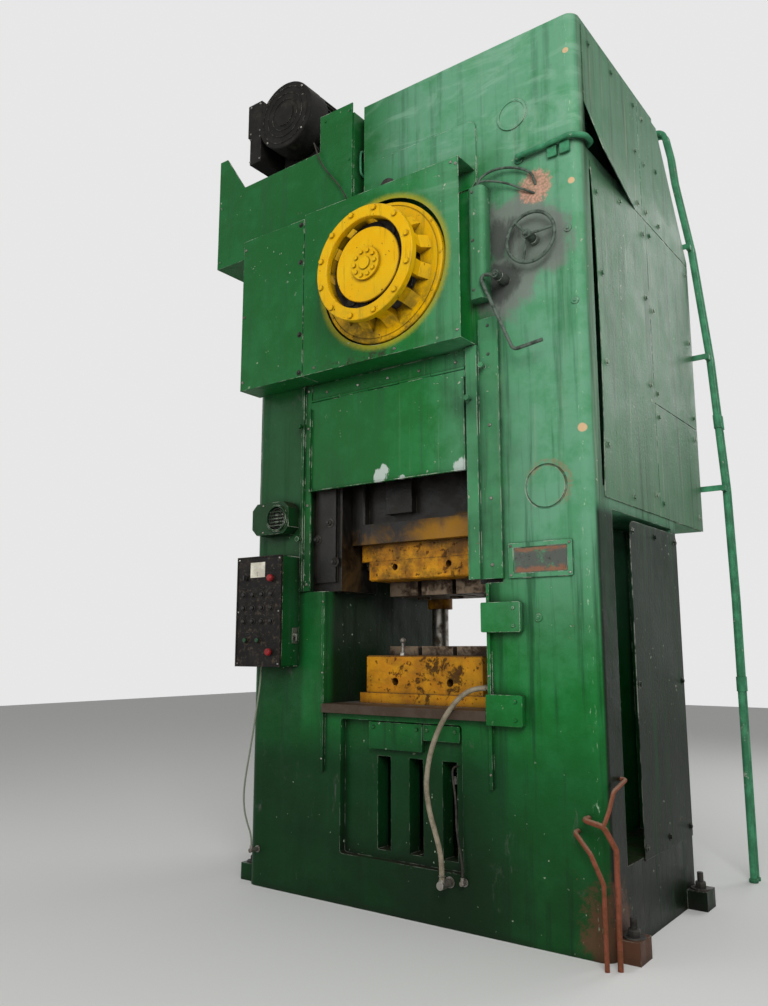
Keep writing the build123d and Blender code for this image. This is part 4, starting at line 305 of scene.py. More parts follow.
def casting_marks(s, colour):
    """Marks at their own places on the front of the frame and at its right foot."""
    front = s.step(s.y, FRONT + 0.06, FRONT + 0.04)
    # Bare grey smears round the handwheel and the lever, darker to their left
    ragged = s.blend(s.noise(1.0, 7, 0.72, stretch=(7.0, 7.0, 3.5), twist=0.6), -1.1, 1.1)
    smear = s.most(s.near(0.97, 3.95, 0.10, 0.36), s.near(0.80, 4.08, 0.06, 0.34), s.near(0.78, 3.72, 0.06, 0.34))
    smear = s.step(s.total(smear, ragged), 0.20, 0.75)
    colour = s.mix(s.product(smear, front, 0.80), colour, srgb(118, 117, 114))
    smear = s.most(s.near(0.72, 4.02, 0.04, 0.24), s.near(0.72, 3.74, 0.04, 0.24))
    smear = s.step(s.total(smear, ragged), 0.25, 0.80)
    colour = s.mix(s.product(smear, front, 0.75), colour, srgb(58, 58, 57))
    # Round patch of primer where the two rods end
    bare = s.total(s.near(*ROD_PATCH, 0.06, 0.16), s.blend(s.noise(42.0, 6, 0.8), -1.1, 1.1))
    primed = s.mix(s.step(s.noise(60.0, 4, 0.7), 0.44, 0.58), srgb(204, 150, 132), srgb(150, 124, 100))
    bare = s.product(s.step(bare, 0.40, 0.80), s.near(*ROD_PATCH, 0.12, 0.15), front, 0.9)
    colour = s.mix(bare, colour, primed)
    # Arc of worn paint on the upper right of the ring boss
    arc = s.product(s.ring(*RING_BOSS, 0.130, 0.034), s.step(s.noise(26.0, 5, 0.8), 0.42, 0.58),
                    s.step(s.total(s.x, s.z), 3.34, 3.52), front)
    colour = s.mix(s.product(arc, 0.75), colour, srgb(136, 124, 94))
    # Grey plate with a rusty rim and dark flecks
    plate = s.product(s.step(s.x, 0.785, 0.80), s.step(s.x, 1.125, 1.11), s.step(s.z, 1.968, 1.985),
                      s.step(s.z, 2.128, 2.11), front)
    colour = s.mix(s.product(plate, s.step(s.noise(9.0, 6, 0.75), 0.34, 0.48)), colour, srgb(88, 92, 86))
    rim = s.product(plate, s.step(s.off(s.less(s.z, 2.05)), 0.01, 0.07))
    flaking = s.total(s.product(rim, 0.35), s.noise(17.0, 7, 0.8, twist=1.2))
    colour = s.mix(s.product(plate, s.step(flaking, 0.66, 0.80), 0.8), colour, srgb(146, 98, 74))
    colour = s.mix(s.product(plate, s.step(s.noise(30.0, 6, 0.8), 0.56, 0.66), 0.8), colour, srgb(38, 36, 30))
    # Rust creeps up the right foot
    foot = s.product(s.step(s.z, 0.62, 0.10), s.step(s.x, 0.98, 1.26), s.step(s.y, -0.30, -0.55))
    foot = s.total(foot, s.blend(s.noise(16.0, 7, 0.8), -1.2, 1.2))
    colour = s.mix(s.product(s.step(foot, 0.35, 0.85), 0.8), colour, srgb(94, 62, 46))
    # Three filled holes, and paint lost along the right corner
    spots = s.most(s.near(1.216, 5.098, 0.016, 0.020), s.near(1.221, 4.250, 0.017, 0.022),
                   s.near(1.228, 2.764, 0.022, 0.028))
    colour = s.mix(s.product(spots, front), colour, srgb(206, 172, 132))
    corner = s.product(s.step(s.x, 1.200, 1.215), s.step(s.x, 1.245, 1.232), front,
                       s.step(s.noise(1.0, 4, 0.7, stretch=(60.0, 20.0, 14.0)), 0.60, 0.66))
    return s.mix(corner, colour, srgb(150, 180, 150))


def sheet_marks(s, colour, fine):
    """Marks at their own places on the guard box and the flap, and painted shade on the horn's box."""
    # Painted shade on the face of the horn's box
    horn = s.product(s.step(s.x, -0.855, -0.862), s.step(s.z, 2.30, 2.325), s.step(s.z, 2.58, 2.556), 0.45)
    colour = s.mix(horn, colour, GREASE_AND_SHADE)
    # Dirt along the guard's lower edge, and yellow overspray round the brake
    guard = s.step(s.y, GUARD_FRONT + 0.02, GUARD_FRONT + 0.01)
    sill = s.product(s.step(s.z, 3.47, 3.38), guard, s.step(s.off(s.total(s.x, 0.15)), 0.45, 0.1),
                     s.step(s.noise(1.0, 6, 0.75, stretch=(16.0, 5.0, 20.0)), 0.46, 0.60))
    colour = s.mix(s.product(sill, 0.9), colour, srgb(44, 38, 28))
    spray = s.total(s.near(*BRAKE, 0.47, 0.57), s.blend(fine, -0.25, 0.25))
    colour = s.mix(s.product(s.step(spray, 0.25, 1.0), guard, 0.7), colour, srgb(176, 164, 28))
    # Pale dabs low on the flap
    flap = s.product(s.step(s.y, -0.70, -0.715), s.step(s.y, -0.76, -0.745))
    dabs = s.most(s.near(-0.153, 2.650, 0.02, 0.085), s.near(-0.120, 2.690, 0.01, 0.06),
                  s.near(0.020, 2.617, 0.01, 0.035), s.near(0.456, 2.640, 0.02, 0.075))
    dabs = s.total(dabs, s.blend(s.noise(30.0, 6, 0.75, stretch=(1.8, 1.0, 0.5)), -0.9, 0.9))
    return s.mix(s.product(s.step(dabs, 0.42, 0.56), flap, 0.9), colour, srgb(190, 202, 194))


def enamel(name, casting):
    """Green enamel, brushed on thick over a casting or thinner on sheet metal."""
    s = Shader(name)
    patches = s.noise(5.0, 6, 0.65)
    fine = s.noise(45.0, 5, 0.7)
    runs = s.noise(1.0, 6, 0.62, stretch=(14.0, 14.0, 0.7))
    colour, dusty, wander = enamel_tones(s, casting, patches)
    # Covers on the right side are faded and grey with dust, and the lowest one is nearly black
    side = s.step(s.x, SIDE - 0.012, SIDE - 0.002)
    faded = s.product(side, s.step(s.z, 2.30, 2.40), s.blend(s.step(runs, 0.35, 0.70), 0.45, 0.85))
    colour = s.mix(faded, colour, srgb(88, 114, 92))
    colour = s.mix(s.product(side, s.step(s.z, 2.38, 2.28), 0.95), colour, srgb(14, 16, 11))
    # Dark runs and grime that wash down from the working height, and pale ones above it
    grimy = s.product(s.step(runs, 0.50, 0.68), s.blend(s.step(s.z, 1.0, 4.6), 0.70, 0.32))
    colour = s.mix(grimy, colour, OLD_GREEN if casting else srgb(40, 78, 50))
    streaks = s.noise(1.0, 6, 0.6, stretch=(22.0, 22.0, 0.9))
    pale = s.product(s.step(streaks, 0.56, 0.74), s.step(s.z, 2.2, 2.6), s.step(s.x, -0.4, 0.4),
                     s.blend(side, 0.25, 0.6))
    colour = s.mix(pale, colour, srgb(138, 158, 134))
    top = s.product(s.step(s.up, 0.45, 0.8), s.step(patches, 0.30, 0.55))
    colour = s.mix(s.product(top, 0.85), colour, GRIME)
    # Hazy sweeps where dust was wiped off the head
    sweeps = s.noise(1.0, 6, 0.62, stretch=(2.2, 2.2, 6.5), twist=0.8)
    wiped = s.product(s.step(sweeps, 0.50, 0.66), s.step(s.z, 3.7, 4.6), s.step(s.y, -0.60, -0.66), dusty, 0.42)
    colour = s.mix(wiped, colour, srgb(138, 178, 152))
    colour = die_space_soot(s, colour)
    colour = casting_marks(s, colour) if casting else sheet_marks(s, colour, fine)
    # Grime and painted shade in corners and crevices
    crevice = s.corners(0.10)
    colour = s.mix(s.product(crevice, s.step(patches, 0.25, 0.6), 0.85), colour, GREASE_AND_SHADE)
    # Edges worn to primer, and chips in clusters that show primer or rust
    worn = s.product(s.edges(0.006), s.step(s.noise(9.0, 5, 0.7), 0.47, 0.57),
                     s.blend(s.step(s.z, 1.05, 1.25), 0.30, 0.85))
    colour = s.mix(worn, colour, PRIMER)
    cluster = s.step(s.noise(1.7, 3, 0.5), 0.48, 0.62)
    chips = s.product(s.step(s.noise(30.0, 3, 0.5), 0.705, 0.72), cluster)
    flakes = s.product(s.step(s.noise(15.0, 4, 0.6, twist=0.6), 0.735, 0.745), cluster)
    colour = s.mix(chips, colour, srgb(160, 176, 150))
    colour = s.mix(flakes, colour, RUST_PALE)
    rough = s.blend(s.most(grimy, crevice, s.step(wander, 0.2, 1.1)), 0.30 if casting else 0.36, 0.62)
    waves = s.total(s.product(s.noise(3.2 if casting else 1.6, 2, 0.4), 4.0), s.product(fine, 0.45))
    waves = s.less(waves, s.product(s.most(chips, flakes, worn), 0.5))
    return s.finish(colour, rough, bump=waves, bump_depth=0.0045 if casting else 0.006, edge_radius=0.005,
                    specular=0.12)


def brake_enamel():
    """Bright yellow enamel, greasy low down and in the ribs, with grime and painted shade in its corners."""
    s = Shader("brake_yellow")
    patches = s.noise(9.0, 6, 0.65)
    fine = s.noise(60.0, 5, 0.7)
    runs = s.noise(1.0, 6, 0.65, stretch=(30.0, 30.0, 3.0))
    colour = s.mix(s.step(patches, 0.35, 0.65), YELLOW, srgb(234, 186, 14))
    colour = s.mix(s.product(s.step(runs, 0.54, 0.70), 0.45), colour, srgb(150, 120, 28))
    behind = s.step(s.y, -1.09, -0.93)
    low = s.step(s.z, SHAFT_Z - 0.02, SHAFT_Z - 0.36)
    soiled = s.product(s.step(patches, 0.36, 0.62), s.blend(low, 0.20, 0.85), s.blend(behind, 0.35, 1.0))
    colour = s.mix(soiled, colour, srgb(96, 78, 26))
    # Grime and painted shade in corners and between the ribs
    crevice = s.corners(0.09)
    colour = s.mix(s.product(crevice, 0.85), colour, srgb(40, 34, 20))
    worn = s.product(s.edges(0.004), s.step(s.noise(20.0, 4, 0.7), 0.52, 0.60))
    colour = s.mix(worn, colour, srgb(120, 104, 62))
    specks = s.step(s.noise(38.0, 3, 0.5), 0.70, 0.73)
    colour = s.mix(specks, colour, srgb(70, 52, 24))
    bump = s.less(s.product(fine, 0.8), s.product(specks, 0.6))
    rough = s.blend(s.most(soiled, crevice), 0.34, 0.62)
    return s.finish(colour, rough, bump=bump, bump_depth=0.0022, edge_radius=0.004, specular=0.15)


def die_enamel():
    """Orange yellow paint on the die holders, burnt, scaled and rusty."""
    s = Shader("die_orange")
    patches = s.noise(7.0, 7, 0.7, twist=0.4)
    fine = s.noise(55.0, 5, 0.7)
    colour = s.mix(s.step(patches, 0.40, 0.62), ORANGE, srgb(208, 146, 18))
    washed = s.step(s.noise(1.0, 6, 0.65, stretch=(5.0, 5.0, 14.0)), 0.48, 0.70)
    colour = s.mix(s.product(washed, 0.40), colour, srgb(128, 84, 14))
    scuffed = s.most(s.near(0.05, 1.390, 0.03, 0.20), s.near(-0.12, 1.370, 0.02, 0.12),
                     s.near(0.25, 1.400, 0.02, 0.14))
    burnt = s.total(s.noise(9.0, 7, 0.74, twist=0.5), s.product(scuffed, s.blend(patches, -0.10, 0.34)))
    burnt = s.step(burnt, 0.59, 0.66)
    upper = s.step(s.z, 1.70, 1.85)
    colour = s.mix(s.product(burnt, s.blend(upper, 0.9, 0.7)), colour, srgb(56, 36, 20))
    spots = s.step(s.noise(30.0, 4, 0.6), 0.61, 0.65)
    colour = s.mix(s.product(spots, 0.8), colour, srgb(80, 44, 20))
    soot = s.product(s.blend(upper, 0.35, 0.80), s.step(s.noise(3.0, 6, 0.7), 0.40, 0.60))
    colour = s.mix(soot, colour, srgb(44, 32, 18))
    flat = s.step(s.up, 0.5, 0.8)
    colour = s.mix(s.product(flat, 0.9), colour, srgb(64, 50, 36))
    # Scale and painted shade in corners and crevices
    crevice = s.corners(0.07)
    colour = s.mix(s.product(crevice, 0.85), colour, srgb(30, 22, 15))
    worn = s.product(s.edges(0.006), s.step(s.noise(14.0, 4, 0.7), 0.44, 0.56))
    colour = s.mix(worn, colour, srgb(60, 46, 34))
    bump = s.less(s.product(fine, 0.8), s.product(s.most(spots, burnt), 0.8))
    return s.finish(colour, s.blend(s.most(burnt, spots, flat), 0.5, 0.8), bump=bump, bump_depth=0.003,
                    edge_radius=0.005, specular=0.2)


def ram_finish():
    """Greased black casting, with yellow paint left low on the ram's foot."""
    s = Shader("ram_black")
    patches = s.noise(6.0, 6, 0.68, twist=0.5)
    fine = s.noise(50.0, 5, 0.7)
    runs = s.noise(1.0, 6, 0.65, stretch=(26.0, 26.0, 1.6))
    colour = s.mix(s.step(patches, 0.35, 0.65), srgb(14, 13, 12), srgb(34, 31, 26))
    colour = s.mix(s.product(s.step(runs, 0.55, 0.72), 0.5), colour, srgb(56, 48, 36))
    ram_front = s.product(s.step(s.off(s.x), 0.531, 0.529), s.step(s.y, -0.40, -0.45))
    low = s.product(s.step(s.z, 2.52, 2.26), s.blend(s.step(s.x, -0.2, 0.4), 0.55, 1.0))
    low = s.total(low, s.blend(patches, -0.45, 0.35))
    colour = s.mix(s.product(s.step(low, 0.35, 0.85), ram_front, 0.85), colour, srgb(156, 108, 16))
    worn = s.product(s.edges(0.006), s.step(s.noise(12.0, 4, 0.7), 0.46, 0.60))
    colour = s.mix(s.product(worn, 0.6), colour, srgb(84, 78, 66))
    bump = s.total(s.product(patches, 1.2), s.product(fine, 0.6))
    return s.finish(colour, s.blend(s.step(patches, 0.4, 0.7), 0.32, 0.6), bump=bump, bump_depth=0.003,
                    edge_radius=0.005, specular=0.2)


def bare_metal(name, clean, stained, rough, metal, stain_scale=9.0, painted=False):
    """Bare metal with oil stains, scratches and worn edges. painted puts old paint on the fittings in front."""
    s = Shader(name)
    stains = s.noise(stain_scale, 6, 0.68, twist=0.4)
    scratches = s.noise(1.0, 5, 0.75, stretch=(120.0, 120.0, 9.0))
    fine = s.noise(70.0, 4, 0.7)
    dull = s.step(stains, 0.42, 0.62)
    colour = s.mix(dull, clean, stained)
    colour = s.mix(s.product(s.step(scratches, 0.55, 0.75), 0.4), colour, clean)
    # Grease and painted shade in corners
    colour = s.mix(s.product(s.corners(0.05), 0.8), colour, GREASE_AND_SHADE)
    colour = s.mix(s.product(s.edges(0.003), 0.45), colour, clean)
    metal_share = 1.0
    if painted:
        # The handwheel, the lever and the fittings round them are painted over, the bolster is greasy in front
        wheel = s.product(s.step(s.x, 0.58, 0.62), s.step(s.z, 3.1, 3.2), s.step(s.y, -0.69, -0.70))
        worn = s.step(s.noise(18.0, 5, 0.7), 0.46, 0.60)
        colour = s.mix(wheel, colour, s.mix(worn, srgb(84, 98, 86), srgb(52, 62, 54)))
        bolster = s.product(s.step(s.z, 1.10, 1.14), s.step(s.z, 1.22, 1.21), s.step(s.y, -0.45, -0.60))
        colour = s.mix(s.product(bolster, 0.95), colour, srgb(58, 42, 28))
        dull = s.most(dull, wheel, bolster)
        metal_share = s.blend(s.most(wheel, bolster), 1.0, 0.0)
    bump = s.total(s.product(scratches, 0.5), s.product(fine, 0.4))
    metal = s.product(s.blend(dull, metal, metal * 0.4), metal_share)
    return s.finish(colour, s.blend(dull, rough, rough + 0.3), metal, bump=bump, bump_depth=0.0012,
                    edge_radius=0.003)


def dusty_paint(name, base, dust, rough, chips=None, flakes=0.74, dust_share=0.8, speckle=0.0):
    """Plain paint with dust on its upper faces, grime and painted shade in its corners and chips where noise
    passes flakes.
    """
    s = Shader(name)
    patches = s.noise(11.0, 6, 0.65)
    fine = s.noise(80.0, 4, 0.7)
    lighter = (*(min(1.0, value * 1.7 + 0.004) for value in base[:3]), 1.0)
    colour = s.mix(s.step(patches, 0.38, 0.68), base, lighter)
    settled = s.product(s.step(s.up, 0.25, 0.75), s.blend(patches, 0.4, 1.0), dust_share)
    colour = s.mix(settled, colour, dust)
    colour = s.mix(s.product(s.step(s.noise(4.0, 6, 0.7), 0.52, 0.72), 0.35), colour, dust)
    colour = s.mix(s.product(s.step(s.noise(26.0, 6, 0.78), 0.52, 0.66), speckle), colour, chips or dust)
    # Grime and painted shade in corners
    colour = s.mix(s.product(s.corners(0.05), 0.7), colour, GREASE_AND_SHADE)
    worn = s.product(s.edges(0.003), s.step(s.noise(24.0, 4, 0.7), 0.50, 0.62))
    spots = s.step(s.noise(32.0, 3, 0.55), flakes, flakes + 0.02)
    colour = s.mix(s.product(s.most(worn, spots), 0.75), colour, chips or srgb(150, 148, 136))
    return s.finish(colour, s.blend(patches, rough - 0.08, rough + 0.12), bump=s.total(fine, patches),
                    bump_depth=0.0015, edge_radius=0.003, specular=0.15)


def rusty():
    """Red-brown rusty pipe."""
    s = Shader("pipe_rust")
    patches = s.noise(16.0, 7, 0.72, twist=0.5)
    fine = s.noise(120.0, 5, 0.75)
    colour = s.mix(s.step(patches, 0.36, 0.64), RUST, srgb(134, 72, 52))
    colour = s.mix(s.step(fine, 0.55, 0.72), colour, srgb(62, 38, 26))
    colour = s.mix(s.product(s.step(s.up, 0.3, 0.8), 0.5), colour, srgb(150, 128, 108))
    return s.finish(colour, 0.85, bump=s.total(fine, patches), bump_depth=0.002)


def rubber(name, base, dust, faded=None):
    """Rubber sheath with dust and scuffs. faded is the colour of the cable at the left."""
    s = Shader(name)
    patches = s.noise(14.0, 6, 0.7)
    fine = s.noise(180.0, 4, 0.7)
    colour = s.mix(s.step(patches, 0.36, 0.66), base, dust)
    if faded:
        colour = s.mix(s.step(s.x, -1.0, -1.05), colour, faded)
    colour = s.mix(s.product(s.step(s.up, 0.2, 0.8), 0.4), colour, dust)
    colour = s.mix(s.product(s.step(fine, 0.58, 0.7), 0.5), colour, GREASE_AND_SHADE)
    return s.finish(colour, s.blend(patches, 0.55, 0.8), bump=fine, bump_depth=0.0008)


def plastic(name, base, soiled):
    """Moulded plastic knob or lens, with dirt and painted shade in its corners."""
    s = Shader(name)
    patches = s.noise(40.0, 5, 0.65)
    colour = s.mix(s.product(s.step(patches, 0.45, 0.7), 0.5), base, soiled)
    # Dirt and painted shade in corners
    colour = s.mix(s.product(s.corners(0.02), 0.6), colour, GREASE_AND_SHADE)
    return s.finish(colour, s.blend(patches, 0.32, 0.57), bump=patches, bump_depth=0.0004, edge_radius=0.0015)


MATERIALS = {
    "press_green": enamel("press_green", casting=True),
    "sheet_green": enamel("sheet_green", casting=False),
    "brake_yellow": brake_enamel(),
    "die_orange": die_enamel(),
    "die_steel": bare_metal("die_steel", srgb(120, 104, 86), srgb(58, 42, 30), rough=0.45, metal=0.6,
                            stain_scale=12.0),
    "ram_black": ram_finish(),
    "machined_steel": bare_metal("machined_steel", srgb(160, 156, 148), srgb(78, 68, 54), rough=0.28, metal=0.9,
                                 stain_scale=8.0, painted=True),
    "bronze": bare_metal("bronze", srgb(176, 128, 68), srgb(92, 62, 34), rough=0.35, metal=0.9),
    "dark_iron": bare_metal("dark_iron", srgb(64, 62, 58), srgb(30, 28, 24), rough=0.5, metal=0.5),
    "belt_black": rubber("belt_black", srgb(26, 26, 26), srgb(58, 56, 52)),
    "motor_grey": dusty_paint("motor_grey", srgb(20, 19, 17), srgb(82, 76, 64), rough=0.66, dust_share=0.6),
    "panel_black": dusty_paint("panel_black", srgb(15, 13, 12), srgb(52, 45, 37), rough=0.55,
                               chips=srgb(120, 104, 82), flakes=0.70, speckle=0.30),
    "button_red": plastic("button_red", srgb(140, 22, 26), srgb(74, 18, 16)),
    "button_green": plastic("button_green", srgb(14, 62, 32), srgb(10, 28, 16)),
    "switch_black": plastic("switch_black", srgb(24, 24, 24), srgb(60, 56, 50)),
    "pipe_grey": dusty_paint("pipe_grey", srgb(56, 118, 84), srgb(120, 146, 122), rough=0.5,
                             chips=srgb(168, 172, 156), flakes=0.68),
    "pipe_rust": rusty(),
    "hose_grey": rubber("hose_grey", srgb(150, 140, 120), srgb(112, 102, 84)),
    "cable_black": rubber("cable_black", srgb(26, 25, 24), srgb(64, 58, 50), faded=srgb(122, 128, 112)),
}


def dress_nodes():
    """Give every node of the frame the material of its slot."""
    for name, thing in frame["nodes"].items():
        finish = MATERIALS[node_slots[name]]
        if not thing.data.materials:
            thing.data.materials.append(finish)
        for index in range(len(thing.data.materials)):
            thing.data.materials[index] = finish


# Pieces

def piece(name, mesh, slot, body="frame_body", smooth=False):
    """Turn a bmesh into an object that rides on a body and takes a slot's material."""
    data = bpy.data.meshes.new(name)
    bmesh.ops.recalc_face_normals(mesh, faces=mesh.faces)
    mesh.to_mesh(data)
    mesh.free()
    if smooth:
        for face in data.polygons:
            face.use_smooth = True
        data.set_sharp_from_angle(angle=math.radians(35))
    data.materials.append(MATERIALS[slot])
    thing = linked(name, data)
    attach(thing, body)
    return thing


AXES = {"x": Matrix.Rotation(math.pi / 2, 4, "Y"), "-x": Matrix.Rotation(-math.pi / 2, 4, "Y"),
        "-y": Matrix.Rotation(math.pi / 2, 4, "X"), "y": Matrix.Rotation(-math.pi / 2, 4, "X"),
        "z": Matrix.Identity(4), "-z": Matrix.Rotation(math.pi, 4, "X")}


def add_cone(mesh, place, direction, height, bottom, top, sides):
    """Cone or prism that starts at a place and grows along a direction. bottom and top are radii."""
    matrix = Matrix.Translation(place) @ AXES[direction] @ Matrix.Translation((0, 0, height / 2))
    bmesh.ops.create_cone(mesh, cap_ends=True, segments=sides, radius1=bottom, radius2=top, depth=height,
                          matrix=matrix)


def add_bolt(mesh, place, direction, size, height=None, washer=True, angle=0.0):
    """Hexagon head with a chamfered top on a washer. size is the distance across the flats."""
    radius = size / math.sqrt(3)
    height = height or size * 0.62
    lift = 0.0
    if washer:
        lift = size * 0.12
        add_cone(mesh, place, direction, lift, size * 0.98, size * 0.94, 20)
    spin = AXES[direction] @ Matrix.Rotation(angle, 4, "Z")
    chamfer = height * 0.8
    for low, high, top in ((lift, chamfer, radius), (chamfer, height, radius * 0.86)):
        matrix = Matrix.Translation(place) @ spin @ Matrix.Translation((0, 0, (low + high) / 2))
        bmesh.ops.create_cone(mesh, cap_ends=True, segments=6, radius1=radius, radius2=top, depth=high - low,
                              matrix=matrix)


def add_slab(mesh, low, high, bevel):
    """Straight block between two corners, with its edges broken."""
    middle = [(a + b) / 2 for a, b in zip(low, high)]
    size = [b - a for a, b in zip(low, high)]
    made = bmesh.ops.create_cube(mesh, size=1.0, matrix=Matrix.Translation(middle) @ Matrix.Diagonal((*size, 1.0)))
    edges = list(dict.fromkeys(edge for vert in made["verts"] for edge in vert.link_edges))
    bmesh.ops.bevel(mesh, geom=edges, offset=bevel, segments=2, profile=0.6, affect="EDGES")


def route(name, points, order, resolution):
    """Curve with one line that starts and ends at the first and last point. order 3 is smooth, 2 is straight."""
    curve = bpy.data.curves.new(name, "CURVE")
    curve.dimensions = "3D"
    spline = curve.splines.new("NURBS")
    spline.points.add(len(points) - 1)
    for point, place in zip(spline.points, points):
        point.co = (*place, 1.0)
    spline.order_u = order
    spline.use_endpoint_u = True
    spline.resolution_u = resolution
    return curve


def rod(name, points, radius, slot, body="frame_body", order=3, resolution=8, sides=4):
    """Round bar or pipe along a route. The points carry its radius, so that its bounds come out true."""
    curve = route(name, points, order, resolution)
    curve.bevel_depth = 1.0
    curve.bevel_resolution = sides
    curve.use_fill_caps = True
    for point in curve.splines[0].points:
        point.radius = radius
    curve.materials.append(MATERIALS[slot])
    thing = linked(name, curve)
    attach(thing, body)
    return thing


def route_length(points):
    """Length of the smooth line that follows a cord's points."""
    ruler = bpy.data.objects.new("ruler", route("ruler", points, order=3, resolution=12))
    line = bpy.data.meshes.new_from_object(ruler)
    ends = [[line.vertices[index].co for index in edge.vertices] for edge in line.edges]
    total = sum((b - a).length for a, b in ends)
    bpy.data.objects.remove(ruler)
    bpy.data.meshes.remove(line)
    return total


# Cords, with the same points as their solids

CORDS = (
    ("work_hose", 0.015, "hose_grey", "stiff",
     ((0.61, -0.69, 1.332), (0.53, -0.69, 1.332), (0.45, -0.716, 1.3), (0.392, -0.768, 1.222),
      (0.336, -0.796, 1.12), (0.287, -0.806, 1.005), (0.254, -0.808, 0.886), (0.242, -0.806, 0.762),
      (0.26, -0.802, 0.64), (0.296, -0.795, 0.525), (0.324, -0.788, 0.42), (0.33, -0.786, 0.345),
      (0.33, -0.786, 0.28))),
    ("lamp_cable", 0.006, "cable_black", "medium",
     ((0.36, -0.65, 0.88), (0.36, -0.686, 0.88), (0.369, -0.721, 0.87), (0.382, -0.745, 0.841),
      (0.394, -0.753, 0.798), (0.402, -0.75, 0.735), (0.404, -0.744, 0.655), (0.399, -0.738, 0.575),
      (0.405, -0.733, 0.495), (0.418, -0.728, 0.42), (0.428, -0.726, 0.35), (0.428, -0.726, 0.292))),
    ("control_cable", 0.006, "cable_black", "medium",
     ((-1.098, -0.8, PANEL_BOTTOM), (-1.098, -0.8, 1.37), (-1.106, -0.804, 1.27), (-1.122, -0.81, 1.15),
      (-1.14, -0.816, 1.015), (-1.162, -0.82, 0.88), (-1.192, -0.82, 0.745), (-1.22, -0.812, 0.615),
      (-1.232, -0.794, 0.5), (-1.216, -0.776, 0.405), (-1.186, -0.762, 0.325), (-1.186, -0.762, 0.265))),
    ("motor_wire", 0.005, "cable_black", "medium",
     ((-0.85, -0.5, 5.274), (-0.85, -0.56, 5.274), (-0.826, -0.63, 5.268), (-0.788, -0.694, 5.25),
      (-0.748, -0.732, 5.204), (-0.718, -0.738, 5.13), (-0.69, -0.736, 5.048), (-0.64, -0.734, 4.966),
      (-0.576, -0.735, 4.884), (-0.51, -0.738, 4.8), (-0.456, -0.748, 4.716), (-0.404, -0.77, 4.64),
      (-0.404, -0.77, GUARD_TOP))),
)


def add_cords():
    for node, radius, slot, stiffness, points in CORDS:
        line = rod(f"{node}_line", points, radius, slot, resolution=10, sides=6)
        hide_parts(node)
        route_length(points)


# Fittings, fixings and small parts

OUTWARD = {"x": (1, 0, 0), "-x": (-1, 0, 0), "y": (0, 1, 0), "-y": (0, -1, 0), "z": (0, 0, 1), "-z": (0, 0, -1)}


def seated(nodes, places, direction):
    """Places moved along a direction onto the surface of some nodes, left out where there is none in reach."""
    outward = Vector(OUTWARD[direction])
    found = []
    for place in places:
        start = Vector(place) + outward * REACH
        hits = []
        for name in nodes:
            met, point, normal, _ = frame["nodes"][name].ray_cast(start, -outward, distance=2 * REACH)
            if met and normal.dot(outward) > 0.9:
                hits.append(point)
        if hits:
            nearest = min(hits, key=lambda point: (point - start).length)
            found.append(nearest - outward * SINK)
    return found


def fix(name, nodes, places, direction, size, slot="machined_steel", body="frame_body", washer=True):
    """One piece with bolt heads on the surface of some nodes, each turned its own way."""
    places = seated(nodes, places, direction)
    chance = random.Random(len(places) * 7 + int(size * 10000))
    mesh = bmesh.new()
    for place in places:
        add_bolt(mesh, place, direction, size, washer=washer, angle=chance.uniform(0, 1.0))
    piece(name, mesh, slot, body)


def add_screw(mesh, place, radius, angle):
    """Low round screw head with a slot across it, on a face that looks to the front."""
    add_cone(mesh, place, "-y", radius * 0.35, radius, radius * 0.96, 18)
    top = place + Vector(OUTWARD["-y"]) * radius * 0.35
    add_cone(mesh, top, "-y", radius * 0.30, radius * 0.96, radius * 0.60, 18)
    spin = Matrix.Translation(top) @ AXES["-y"] @ Matrix.Rotation(angle, 4, "Z")
    for side in (-0.42, 0.42):
        flank = Matrix.Translation((0, side * radius, radius * 0.22)) @ Matrix.Diagonal(
            (radius * 1.2, radius * 0.50, radius * 0.34, 1.0))
        bmesh.ops.create_cube(mesh, size=1.0, matrix=spin @ flank)


def screws(name, nodes, places, radius, slot="machined_steel"):
    """One piece with screw heads on the front of some nodes, each turned its own way."""
    chance = random.Random(len(places) * 11 + int(radius * 10000))
    mesh = bmesh.new()
    for place in seated(nodes, places, "-y"):
        add_screw(mesh, place, radius, chance.uniform(0, 3.0))
    piece(name, mesh, slot)


def add_torus(mesh, centre, direction, radius, thickness, around=40, across=8):
    """Round ring about a direction."""
    matrix = Matrix.Translation(centre) @ AXES[direction]
    loops = []
    for step in range(around):
        turn = 2 * math.pi * step / around
        loop = []
        for tip in range(across):
            tilt = 2 * math.pi * tip / across
            reach = radius + thickness * math.cos(tilt)
            loop.append(mesh.verts.new(matrix @ Vector((reach * math.cos(turn), reach * math.sin(turn),
                                                        thickness * math.sin(tilt)))))
        loops.append(loop)
    for step in range(around):
        here, there = loops[step], loops[(step + 1) % around]
        for tip in range(across):
            mesh.faces.new((here[tip], there[tip], there[(tip + 1) % across], here[(tip + 1) % across]))


def rings(name, centre, direction, radii, thickness, slot):
    """One piece with round rings about the same centre."""
    mesh = bmesh.new()
    for radius in radii:
        add_torus(mesh, centre, direction, radius, thickness)
    piece(name, mesh, slot, smooth=True)


def pairs(first, second):
    """Each value of the first row with each value of the second."""
    return [(a, b) for a in first for b in second]


def level(y, places):
    """Places at one depth, from their x and z."""
    return [(x, y, z) for x, z in places]


def round_places(centre, y, radius, degrees):
    """Places on a circle about a centre of the front face."""
    turns = [math.radians(turn) for turn in degrees]
    return [(centre[0] + radius * math.cos(turn), y, centre[1] + radius * math.sin(turn)) for turn in turns]


